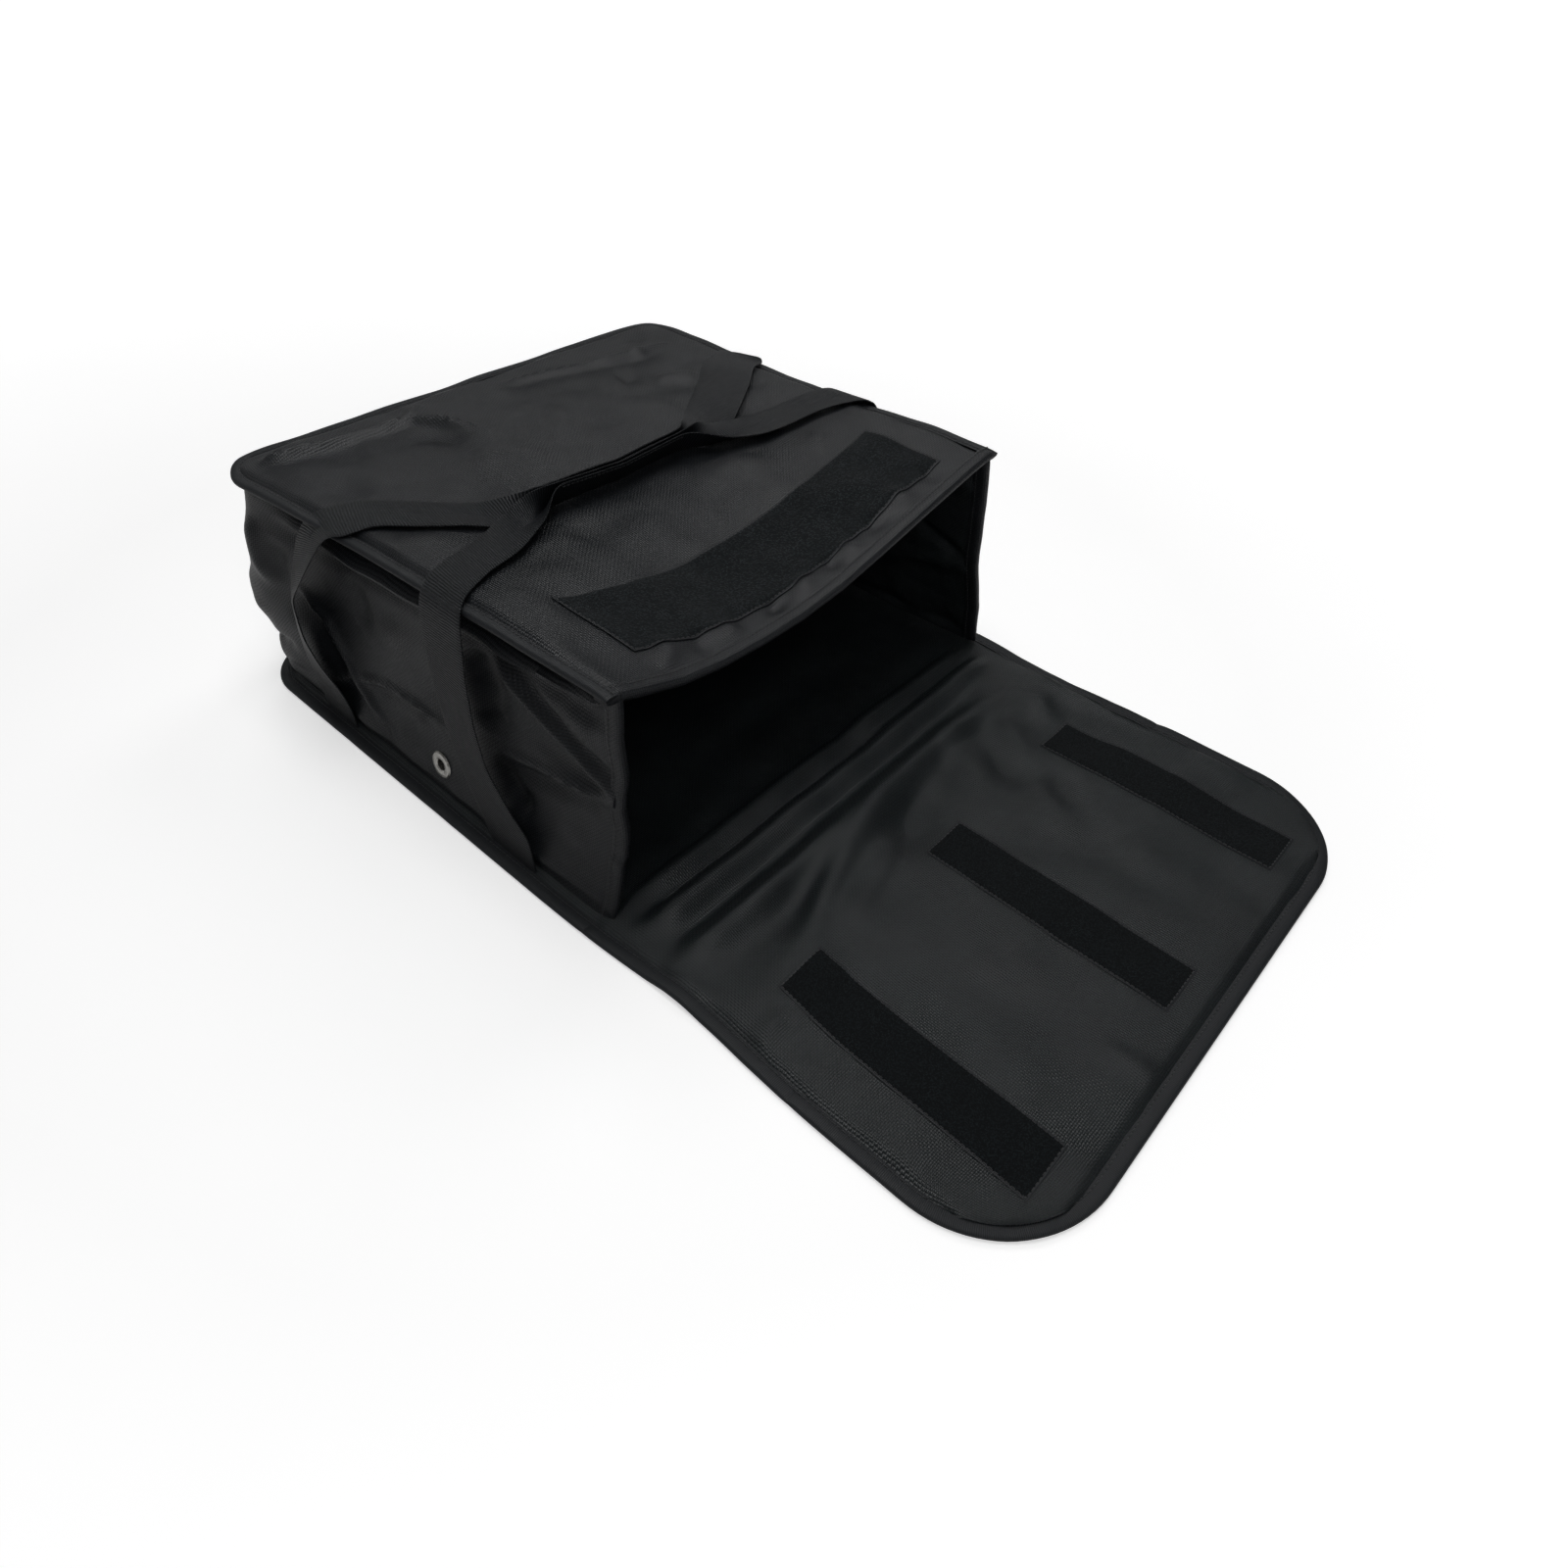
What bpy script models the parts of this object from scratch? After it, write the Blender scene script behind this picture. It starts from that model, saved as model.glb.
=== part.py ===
"""A padded pizza delivery bag, open at the front, with its closing flap laid flat before it.

Metres, +Z up. The mouth faces -Y. The origin is the middle of the base's underside, halfway
between the mouth line and the back edge. In the functions below, d is a depth behind the
mouth line, so the flap lies at negative d.
"""
import math

import bmesh
import bpy
from mathutils import Matrix, Vector

# Driving dimensions of the body
panel_width = 0.512             # base and flap, outside their binding
body_depth = 0.478              # base, from the mouth line to the back edge
body_height = 0.216             # floor to the top panel's upper face, at the sides of the mouth
back_drop = 0.014               # how much lower the top panel lies along its back edge
base_corner_radius = 0.055
top_corner_radius = 0.047
front_lean_in = 0.040           # how far the top's edge stands inside the base's, at the mouth
side_lean_in = 0.019            # the same at the back corners
back_lean_in = 0.021            # and along the back edge
back_bulge = 0.016              # how far the wall stands out at half its height, round the back
bulge_ramp = 0.073              # length of side wall, before the corner, in which it comes up
mouth_sag = 0.036               # droop of the top panel in the middle of the mouth
sag_reach = 0.340               # depth behind the mouth at which the droop ends
sag_margin = 0.004              # level strip of the top panel inside the walls

# Layers of a padded panel, from the outside in
cover_thickness = 0.0010
foam_thickness = 0.0050
lining_thickness = 0.0008
touch_gap = 0.0003              # left between solids that touch

# Edges
binding_width = 0.012
binding_thickness = 0.0050
top_binding_width = 0.010
top_binding_thickness = 0.0056
binding_round = 0.0015
foot_margin = 0.005             # base showing between its binding and the wall's foot
wall_top_inset = 0.009          # how far the top's edge overhangs the wall
hem_width = 0.012               # hem round the mouth

# Flap
hinge_lead = 0.003              # hinge line ahead of the mouth line
closing_clearance = 0.0043      # closed flap's inner face above the top panel
tip_clearance = 0.0080          # closed flap's front edge ahead of the raised handle
flap_corner_radius = 0.092
hook_thickness = 0.0015
hook_width = 0.047
hook_side_margin = 0.0575       # outer strip's edge to the flap's side
hook_length = 0.212
hook_tip_margin = 0.035         # from the strip's end to the flap's front edge
crease_margin = 0.0023          # strip's cut edge to the crease

# Loop strip on the top panel
loop_length = 0.347
loop_width = 0.076
loop_thickness = 0.0015
loop_front_margin = 0.028
sag_seat_gap = 0.0007           # under strips and straps that follow the drooping panel

# Handles: each is one webbing, stitched in at the base and run over the top
strap_width = 0.050
strap_thickness = 0.0016
strap_bend_radius = 0.006
strap_edge_gap = 0.0010         # between the webbing and the edges that it runs past
grip_width = 0.026
grip_length = 0.124
grip_taper = 0.055
grips_meet_depth = 0.2358
grips_gap = 0.0015
front_root_step = 0.0185        # the front handle's roots stand this far ahead of its grip
back_root_step = 0.0285         # the back handle's roots stand this far behind its grip
root_edge_inset = 0.018         # handle roots inside the top's edge
handle_axis_lead = 0.0015       # hinge line beyond the webbing's edge
front_foot_depth = 0.102
front_shoulder_depth = 0.180
back_foot_depth = 0.340
back_shoulder_depth = 0.310

# Vent eyelets
vent_depth = 0.206
vent_height = 0.033
vent_hole_radius = 0.0070
eyelet_radius = 0.0120
eyelet_bore_radius = 0.0050
eyelet_barrel_wall = 0.0010
eyelet_rim_height = 0.0016
vent_seat_gap = 0.0005          # under the rim and the washer, on the curved wall
washer_radius = 0.0110
washer_thickness = 0.0008
eyelet_curl = 0.0012            # barrel rolled over past the washer
cut_overrun = 0.010

# How the forms are divided
sag_side_power = 1.3
sag_back_power = 1.5
corner_steps = 4
panel_columns = 14
panel_rows = 9
side_steps = 8
back_steps = 4
wall_rows = 8
turned_steps = 32
leg_steps = 3
bend_steps = 4

# Worked out from the above
panel_half = panel_width / 2
panel_thickness = cover_thickness + foam_thickness + lining_thickness + 2 * touch_gap
foam_start = cover_thickness + touch_gap
lining_start = foam_start + foam_thickness + touch_gap
layer_inset = binding_width + touch_gap
top_depth = body_depth - back_lean_in
top_front_half = panel_half - front_lean_in
top_back_half = panel_half - side_lean_in
top_inset = top_binding_width + touch_gap
foot_half = panel_half - layer_inset - foot_margin
foot_depth = body_depth - layer_inset - foot_margin
wall_low = panel_thickness + touch_gap
foot_radius = base_corner_radius - layer_inset - foot_margin
head_radius = top_corner_radius - wall_top_inset
hook_pitch = panel_half - hook_side_margin - hook_width / 2
grip_half = grip_length / 2
handle_root = top_front_half - root_edge_inset
front_facing_root = grips_meet_depth - grips_gap / 2 - front_root_step
back_facing_root = grips_meet_depth + grips_gap / 2 + back_root_step
front_axis_depth = front_facing_root - strap_width - handle_axis_lead
back_axis_depth = back_facing_root + strap_width + handle_axis_lead
flap_lower_length = body_height + closing_clearance - panel_thickness
flap_upper_length = front_axis_depth + hinge_lead - tip_clearance
flap_length = hinge_lead + flap_lower_length + flap_upper_length
crease_depth = -hinge_lead - flap_lower_length


def place(x, d, z):
    """A point of the model from its depth behind the mouth line."""
    return Vector((x, d - body_depth / 2, z))


def between(low, high, share):
    return low + (high - low) * share


def divide(low, high, steps):
    return [between(low, high, step / steps) for step in range(steps + 1)]


# Materials
def finish(name, colour, roughness, metallic=0.0):
    """A Principled material."""
    material = bpy.data.materials.new(name)
    material.use_nodes = True
    shader = material.node_tree.nodes["Principled BSDF"]
    shader.inputs["Base Color"].default_value = (*colour, 1.0)
    shader.inputs["Roughness"].default_value = roughness
    shader.inputs["Metallic"].default_value = metallic
    material.diffuse_color = (*colour, 1.0)
    return material


# Making objects
def add_object(name, data, material, collection):
    """An object of the bag, with its material."""
    made = bpy.data.objects.new(name, data)
    made.data.materials.append(material)
    collection.objects.link(made)
    return made


def mesh_object(name, shape, material, collection):
    mesh = bpy.data.meshes.new(name)
    shape.to_mesh(mesh)
    shape.free()
    return add_object(name, mesh, material, collection)


def loft(name, sections, material, collection):
    """A closed solid through a row of loops that have the same even number of points.

    Each loop goes out along one side and returns along the other, so each end is closed from
    side to side. Each face is split from its lower corner in the first loop, so nested layers
    are split alike.
    """
    shape = bmesh.new()
    rings = [[shape.verts.new(point) for point in section] for section in sections]
    for ring, following in zip(rings, rings[1:]):
        for here in range(len(ring)):
            beside = (here + 1) % len(ring)
            corners = [ring[here], ring[beside], following[beside], following[here]]
            if ring[here].co.z > ring[beside].co.z:
                corners = corners[1:] + corners[:1]
            shape.faces.new(corners)
    for ring in (rings[0], rings[-1]):
        for out in range(len(ring) // 2 - 1):
            shape.faces.new((ring[out], ring[out + 1], ring[-2 - out], ring[-1 - out]))
    bmesh.ops.triangulate(shape, faces=shape.faces[:], quad_method="FIXED")
    bmesh.ops.recalc_face_normals(shape, faces=shape.faces)
    return mesh_object(name, shape, material, collection)


def flat_piece(name, outline, low, thickness, material, collection):
    """A flat outline, given as x and depth, with a thickness."""
    curve = bpy.data.curves.new(name, "CURVE")
    curve.dimensions = "2D"
    curve.fill_mode = "BOTH"
    curve.extrude = thickness / 2
    line = curve.splines.new("POLY")
    line.points.add(len(outline) - 1)
    for point, (x, d) in zip(line.points, outline):
        point.co = (*place(x, d, 0.0), 1.0)
    line.use_cyclic_u = True
    made = add_object(name, curve, material, collection)
    made.location.z = low + thickness / 2
    return made


def floor_level(_):
    """The lower face of a binding that lies on the floor."""
    return 0.0


# Outlines, as x and depth
def open_outline(half, start, end, radius):
    """A U from (-half, start) round two corners at the end depth to (half, start)."""
    way = math.copysign(1.0, end - start)
    turn = [math.pi / 2 * step / (2 * corner_steps) for step in range(2 * corner_steps + 1)]
    corner = [(half - radius + radius * math.cos(angle), end - way * radius * (1 - math.sin(angle)))
              for angle in turn]
    left = [(-half, start)] + [(-x, d) for x, d in corner]
    return left + [(-x, d) for x, d in reversed(left)]


def strip_outline(middle, width, start, end):
    """A rectangle across a middle line in x, between two depths."""
    low, high = middle - width / 2, middle + width / 2
    return [(low, start), (high, start), (high, end), (low, end)]


# Body of the top panel
def top_half(d):
    """Half the top's outer width at a depth."""
    return between(top_front_half, top_back_half, min(max(d / top_depth, 0.0), 1.0))


def top_level(d):
    """Height of the top panel's upper face along its edges."""
    return body_height - back_drop * min(max(d / top_depth, 0.0), 1.0)


def top_height(x, d):
    """Height of the top panel's upper face."""
    return top_level(d) - top_drop(x, d)


def top_drop(x, d):
    """How far the top panel hangs below its edges, between the walls."""
    clear_half = top_half(d) - wall_top_inset - panel_thickness - sag_margin
    across = min(abs(x) / clear_half, 1.0)
    along = min(max(d / sag_reach, 0.0), 1.0)
    return mouth_sag * (1 - across ** 2) ** sag_side_power * (1 - along) ** sag_back_power


def round_corner(x, d, half, depth, radius):
    """Draws a point of a rectangle in, so that the two back corners become round."""
    over_x = (abs(x) - half + radius) / radius
    over_d = (d - depth + radius) / radius
    if over_x <= 0 or over_d <= 0:
        return x, d
    round_x = half - radius + radius * over_x * math.sqrt(1 - over_d ** 2 / 2)
    round_d = depth - radius + radius * over_d * math.sqrt(1 - over_x ** 2 / 2)
    return math.copysign(round_x, x), round_d


def top_grid(inset, start):
    """Rows of points over the top panel, this far inside its outer edge."""
    half = top_front_half - inset
    depth = top_depth - inset
    radius = top_corner_radius - inset
    corner = divide(half - radius, half, corner_steps)[1:]
    across = [-x for x in reversed(corner)] + divide(radius - half, half - radius, panel_columns) + corner
    along = divide(start, depth - radius, panel_rows) + divide(depth - radius, depth, corner_steps)[1:]
    rows = []
    for d in along:
        row = [round_corner(x, d, half, depth, radius) for x in across]
        rows.append([(x * top_half(y) / top_front_half, y) for x, y in row])
    return rows


def top_edge(inset, start):
    """The left, back and right edge of the grid, in one line."""
    rows = top_grid(inset, start)
    left = [row[0] for row in rows[:-1]]
    right = [row[-1] for row in reversed(rows[:-1])]
    return left + rows[-1] + right


def top_layer(name, below, thickness, material, collection):
    """A layer of the top panel, whose upper face is this far below the panel's own."""
    rows = top_grid(top_inset, hem_width + touch_gap)
    columns = len(rows[0]) - 1
    shape = bmesh.new()
    bmesh.ops.create_grid(shape, x_segments=columns, y_segments=len(rows) - 1, size=1.0)
    for vert in shape.verts:
        column = round((vert.co.x + 1) / 2 * columns)
        row = round((vert.co.y + 1) / 2 * (len(rows) - 1))
        x, d = rows[row][column]
        vert.co = place(x, d, top_height(x, d) - below - thickness)
    lifted = bmesh.ops.extrude_face_region(shape, geom=shape.faces[:])["geom"]
    raised = [item for item in lifted if isinstance(item, bmesh.types.BMVert)]
    bmesh.ops.translate(shape, verts=raised, vec=(0.0, 0.0, thickness))
    bmesh.ops.recalc_face_normals(shape, faces=shape.faces)
    return mesh_object(name, shape, material, collection)


def build_top(kinds, collection):
    top_layer("top_cover", 0.0, cover_thickness, kinds["cover"], collection)
    top_layer("top_foam", foam_start, foam_thickness, kinds["foam"], collection)
    top_layer("top_lining", lining_start, lining_thickness, kinds["lining"], collection)
    inner = top_edge(top_binding_width, 0.0)
    outer = top_edge(0.0, 0.0)
    below = (panel_thickness + top_binding_thickness) / 2
    bind("top_binding", inner, outer, lambda d: top_level(d) - below, top_binding_thickness,
         kinds["binding"], collection)
    sections = []
    for x, _ in top_grid(top_inset, 0.0)[0]:
        high, back = top_height(x, 0.0), top_height(x, hem_width)
        sections.append([place(x, 0.0, high - panel_thickness), place(x, hem_width, back - panel_thickness),
                         place(x, hem_width, back), place(x, 0.0, high)])
    loft("mouth_hem_top", sections, kinds["binding"], collection)


def bind(name, inner, outer, low_at, thickness, material, collection):
    """A binding between two lines of the same number of points, with its outer edge rounded.

    Its lower face is at the height low_at for a depth.
    """
    sections = []
    for (in_x, in_d), (out_x, out_d) in zip(inner, outer):
        width = math.hypot(out_x - in_x, out_d - in_d)
        share = 1 - binding_round / width
        near_x, near_d = between(in_x, out_x, share), between(in_d, out_d, share)
        low = low_at(in_d)
        high = low + thickness
        sections.append([place(in_x, in_d, low), place(near_x, near_d, low),
                         place(out_x, out_d, low + binding_round), place(out_x, out_d, high - binding_round),
                         place(near_x, near_d, high), place(in_x, in_d, high)])
    return loft(name, sections, material, collection)


# Base and flap panels
def padded_panel(name, outline, kinds, collection):
    """The cover, foam and lining of a flat panel that lies on the floor."""
    layers = (("cover", 0.0, cover_thickness), ("foam", foam_start, foam_thickness),
              ("lining", lining_start, lining_thickness))
    return [flat_piece(f"{name}_{layer}", outline, low, thickness, kinds[layer], collection)
            for layer, low, thickness in layers]


def u_panel(name, start, end, radius, kinds, collection):
    """A padded panel with two rounded corners, and the binding round them."""
    way = math.copysign(1.0, end - start)
    outline = open_outline(panel_half - layer_inset, start, end - way * layer_inset, radius - layer_inset)
    pieces = padded_panel(name, outline, kinds, collection)
    inner = open_outline(panel_half - binding_width, start, end - way * binding_width, radius - binding_width)
    outer = open_outline(panel_half, start, end, radius)
    pieces.append(bind(f"{name}_binding", inner, outer, floor_level, binding_thickness, kinds["binding"], collection))
    return pieces


def build_base(kinds, collection):
    u_panel("base", touch_gap / 2 - hinge_lead, body_depth, base_corner_radius, kinds, collection)


def hook_strips(part, start, end, kinds, collection):
    """The stretch of each hook strip on one part of the flap."""
    places = {"left": -hook_pitch, "middle": 0.0, "right": hook_pitch}
    return [flat_piece(f"hook_strip_{side}_{part}", strip_outline(x, hook_width, start, end),
                       panel_thickness + touch_gap, hook_thickness, kinds["hook"], collection)
            for side, x in places.items()]


def build_flap_lower(kinds, collection):
    """The part of the flap that stands before the mouth when the bag is shut."""
    start = -hinge_lead - touch_gap / 2
    end = crease_depth + touch_gap / 2
    width = 2 * (panel_half - layer_inset)
    pieces = padded_panel("flap_lower", strip_outline(0.0, width, start, end), kinds, collection)
    for side, name in ((-1, "left"), (1, "right")):
        inner = [(side * (panel_half - binding_width), d) for d in (start, end)]
        outer = [(side * panel_half, d) for d in (start, end)]
        pieces.append(bind(f"flap_lower_binding_{name}", inner, outer, floor_level, binding_thickness,
                           kinds["binding"], collection))
    strip_start = hook_tip_margin + hook_length - flap_length
    pieces += hook_strips("lower", strip_start, crease_depth + crease_margin, kinds, collection)
    return pieces


def build_flap_upper(kinds, collection):
    """The part of the flap that lies on the top panel when the bag is shut."""
    start = crease_depth - touch_gap / 2
    pieces = u_panel("flap_upper", start, -flap_length, flap_corner_radius, kinds, collection)
    pieces += hook_strips("upper", crease_depth - crease_margin, hook_tip_margin - flap_length,
                          kinds, collection)
    return pieces


# Walls: one strip round the left side, the back and the right side
def lean(share):
    """How much of the way in the wall has gone at a share of its height: most of it low down."""
    return 1 - (1 - share) ** 2


def wall_half(d, share):
    return between(foot_half, top_half(d) - wall_top_inset, lean(share))


def wall_high(d):
    return top_level(d) - panel_thickness - touch_gap


def bulge(d, share):
    """How far the wall stands out of its plain form, round the back of the bag."""
    along = min(max((d - foot_depth + foot_radius) / bulge_ramp + 1, 0.0), 1.0)
    return back_bulge * math.sin(math.pi * share) * along ** 2 * (3 - 2 * along)


def wall_point(x, d, normal, share, inset):
    """A point of the wall from its place in the foot's outline."""
    inset -= bulge(d, share)
    x *= wall_half(d, share) / foot_half
    d -= (foot_depth - top_depth + wall_top_inset) * lean(share) * d / foot_depth
    height = between(wall_low, wall_high(d), share)
    return place(x - normal[0] * inset, d - normal[1] * inset, height)


def side_line(start, end, side):
    """Points and outward normals along a side wall: back along the left, forwards along the right."""
    line = [((side * foot_half, d), (side, 0.0)) for d in divide(start, end, side_steps)]
    return line if side < 0 else line[::-1]


def back_line():
    """Points and outward normals round the back, from the left corner to the right one."""
    turn = divide(0.0, math.pi / 2, 2 * corner_steps)
    middle_x = foot_half - foot_radius
    middle_d = foot_depth - foot_radius
    left = [((-middle_x - foot_radius * math.cos(angle), middle_d + foot_radius * math.sin(angle)),
             (-math.cos(angle), math.sin(angle))) for angle in turn]
    straight = [((x, foot_depth), (0.0, 1.0)) for x in divide(-middle_x, middle_x, back_steps)[1:-1]]
    right = [((-x, d), (-n_x, n_d)) for (x, d), (n_x, n_d) in reversed(left)]
    return left + straight + right


def wall_layer(name, line, outer, inner, material, collection):
    """A layer of the wall along a line, between two insets from its outer face."""
    shares = divide(0.0, 1.0, wall_rows)
    sections = []
    for (x, d), normal in line:
        outside = [wall_point(x, d, normal, share, outer) for share in shares]
        inside = [wall_point(x, d, normal, share, inner) for share in reversed(shares)]
        sections.append(outside + inside)
    return loft(name, sections, material, collection)


def build_walls(kinds, collection):
    """The strip's layers, its foam in three boards, and the hems of its front edges."""
    start = hem_width + touch_gap
    corner = foot_depth - foot_radius
    left = side_line(start, corner, -1)
    right = side_line(start, corner, 1)
    whole = left[:-1] + back_line() + right[1:]
    cover = wall_layer("wall_cover", whole, 0.0, cover_thickness, kinds["cover"], collection)
    lining = wall_layer("wall_lining", whole, lining_start, panel_thickness, kinds["lining"], collection)
    foam_end = foam_start + foam_thickness
    wall_layer("wall_foam_back", back_line(), foam_start, foam_end, kinds["foam"], collection)
    cut = {"left": [cover, lining], "right": [cover, lining]}
    for side, name in ((-1, "left"), (1, "right")):
        board = side_line(start, corner - touch_gap, side)
        foam = wall_layer(f"wall_foam_{name}", board, foam_start, foam_end, kinds["foam"], collection)
        cut[name].append(foam)
        wall_layer(f"mouth_hem_{name}", side_line(0.0, hem_width, side), 0.0, panel_thickness,
                   kinds["binding"], collection)
    return cut


# Vent eyelets in the side walls
def vent_frame(side):
    """Where a vent stands on the wall's outer face, with local +Z pointing outwards."""
    wall_height = wall_high(vent_depth) - wall_low
    share = (vent_height - wall_low) / wall_height
    step = touch_gap / wall_height
    rise = (wall_half(vent_depth, share + step) - wall_half(vent_depth, share)) / touch_gap
    outward = Vector((side, 0.0, -rise)).normalized()
    turn = outward.to_track_quat("Z", "Y").to_matrix().to_4x4()
    return Matrix.Translation(place(side * wall_half(vent_depth, share), vent_depth, vent_height)) @ turn


def turned(name, profile, frame, material, collection):
    """A closed profile of radii and heights, outer side first from the top, turned round local Z."""
    shape = bmesh.new()
    verts = [shape.verts.new((radius, 0.0, height)) for radius, height in profile]
    for here, vert in enumerate(verts):
        shape.edges.new((vert, verts[(here + 1) % len(verts)]))
    made = mesh_object(name, shape, material, collection)
    made.matrix_world = frame
    screw = made.modifiers.new("turn", "SCREW")
    screw.steps = turned_steps
    screw.render_steps = turned_steps
    screw.use_merge_vertices = True
    screw.merge_threshold = touch_gap / 10
    screw.use_smooth_shade = True
    return made


def build_vent(side, name, cut, kinds, collection, cutters):
    """The hole through the wall, the eyelet from outside and the washer that it is set on."""
    frame = vent_frame(side)
    bpy.ops.mesh.primitive_cylinder_add(vertices=turned_steps, radius=vent_hole_radius,
                                        depth=panel_thickness + 2 * cut_overrun)
    cutter = bpy.context.object
    cutter.name = f"vent_cutter_{name}"
    cutter.matrix_world = frame @ Matrix.Translation((0.0, 0.0, -panel_thickness / 2))
    cutter.hide_render = True
    cutter.display_type = "WIRE"
    for owner in cutter.users_collection:
        owner.objects.unlink(cutter)
    cutters.objects.link(cutter)
    for layer in cut:
        hole = layer.modifiers.new(f"vent_{name}", "BOOLEAN")
        hole.operation = "DIFFERENCE"
        hole.solver = "EXACT"
        hole.object = cutter
    barrel = eyelet_bore_radius + eyelet_barrel_wall
    seat = vent_seat_gap
    back = -panel_thickness - seat
    crown = seat + eyelet_rim_height
    middle = (eyelet_radius + eyelet_bore_radius) / 2
    end = back - washer_thickness - seat - eyelet_curl
    rim = [(middle, crown), (between(middle, eyelet_radius, 0.7), between(seat, crown, 0.8)),
           (eyelet_radius, seat), (barrel, seat)]
    tail = [(barrel, end), (eyelet_bore_radius, end), (eyelet_bore_radius, between(seat, crown, 0.4)),
            (between(eyelet_bore_radius, middle, 0.4), between(seat, crown, 0.85))]
    turned(f"vent_eyelet_{name}", rim + tail, frame, kinds["metal"], collection)
    high = back
    low = back - washer_thickness
    inner = barrel + touch_gap
    washer = [(washer_radius, high), (washer_radius, low), (inner, low), (inner, high)]
    turned(f"vent_washer_{name}", washer, frame, kinds["metal"], collection)


# Loop strip on the top panel
def build_loop_strip(kinds, collection):
    sections = []
    back = loop_front_margin + loop_width
    for x in divide(-loop_length / 2, loop_length / 2, panel_columns):
        section = []
        for d in (loop_front_margin, (loop_front_margin + back) / 2, back):
            section.append(place(x, d, top_height(x, d) + sag_seat_gap))
        raised = [point + Vector((0.0, 0.0, loop_thickness)) for point in reversed(section)]
        sections.append(section + raised)
    return loft("loop_strip", sections, kinds["loop"], collection)


# Handles
def strap_leg(name, side, foot_d, shoulder_d, root_d, kinds, collection):
    """Webbing from the base seam up the wall, over the top's edge and in to the handle's root.

    Each station is a distance out, a height, the outward direction there and the middle depth.
    """
    foot_out = foot_half + strap_edge_gap
    sections = []

    def bend_low(d):
        return top_level(d) + sag_seat_gap - strap_bend_radius

    def add_station(out_at, height_at, normal, middle):
        section = []
        for offset, lift in ((-1, 0.0), (1, 0.0), (1, strap_thickness), (-1, strap_thickness)):
            d = middle + offset * strap_width / 2
            out = out_at(d) + normal[0] * lift
            section.append(place(side * out, d, height_at(out_at(d), d) + normal[1] * lift))
        sections.append(section)

    def shoulder_out(d):
        return top_half(d) + strap_edge_gap

    rise = bend_low(shoulder_d) - wall_low
    reach = math.hypot(foot_out - shoulder_out(shoulder_d), rise)
    leg_normal = (rise / reach, (foot_out - shoulder_out(shoulder_d)) / reach)
    for share in divide(0.0, 1.0, leg_steps)[:-1]:
        add_station(lambda d, share=share: between(foot_out, shoulder_out(d), share),
                    lambda out, d, share=share: between(wall_low, bend_low(d), share),
                    leg_normal, between(foot_d, shoulder_d, share))
    for angle in divide(0.0, math.pi / 2, bend_steps):
        add_station(lambda d, angle=angle: shoulder_out(d) - strap_bend_radius * (1 - math.cos(angle)),
                    lambda out, d, angle=angle: bend_low(d) + strap_bend_radius * math.sin(angle),
                    (math.cos(angle), math.sin(angle)), shoulder_d)
    add_station(lambda d: handle_root, lambda out, d: top_height(out, d) + sag_seat_gap, (0.0, 1.0), root_d)
    return loft(name, sections, kinds["webbing"], collection)


def handle_span(name, facing_root, facing_grip, way, kinds, collection):
    """The webbing between its roots, folded to half width at the grip.

    The facing edge is the one towards the other handle; way is the side that the webbing lies on.
    """
    end = handle_root - touch_gap
    taper_start = grip_half + grip_taper
    half_line = [0.0, grip_half / 2, grip_half, grip_half + grip_taper / 2, taper_start,
                 (taper_start + end) / 2, end]
    folded_thickness = 2 * strap_thickness + touch_gap
    sections = []
    for x in [-x for x in reversed(half_line[1:])] + half_line:
        open_share = min(max((abs(x) - grip_half) / grip_taper, 0.0), 1.0)
        root_share = min(max((abs(x) - taper_start) / (end - taper_start), 0.0), 1.0)
        facing = between(facing_grip, facing_root, root_share)
        far = facing + way * between(grip_width, strap_width, open_share)
        thickness = between(folded_thickness, strap_thickness, open_share)
        low = [place(x, d, top_height(x, d) + sag_seat_gap) for d in (facing, far)]
        high = [point + Vector((0.0, 0.0, thickness)) for point in reversed(low)]
        sections.append(low + high)
    return loft(name, sections, kinds["webbing"], collection)


def build_handles(kinds, collection):
    """The fixed legs, and the two spans that swing, in the order front, back."""
    spans = []
    handles = (("front", -1, front_facing_root, front_foot_depth, front_shoulder_depth),
               ("back", 1, back_facing_root, back_foot_depth, back_shoulder_depth))
    for name, way, facing_root, foot_d, shoulder_d in handles:
        root_d = facing_root + way * strap_width / 2
        for side, hand in ((-1, "left"), (1, "right")):
            strap_leg(f"{name}_strap_leg_{hand}", side, foot_d, shoulder_d, root_d, kinds, collection)
        facing_grip = grips_meet_depth + way * grips_gap / 2
        spans.append(handle_span(f"{name}_handle", facing_root, facing_grip, way, kinds, collection))
    return spans


# Joint axes
def joint_axis(name, point, collection, parent=None):
    """An empty on a hinge line, for the pieces that turn about it."""
    axis = bpy.data.objects.new(name, None)
    axis.empty_display_size = strap_width
    axis.location = point
    collection.objects.link(axis)
    bpy.context.view_layer.update()
    if parent:
        attach([axis], parent)
    return axis


def attach(pieces, axis):
    """Parents pieces to an axis and leaves them where they are."""
    bpy.context.view_layer.update()
    for piece in pieces:
        piece.parent = axis
        piece.matrix_parent_inverse = axis.matrix_world.inverted()
    bpy.context.view_layer.update()


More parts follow.
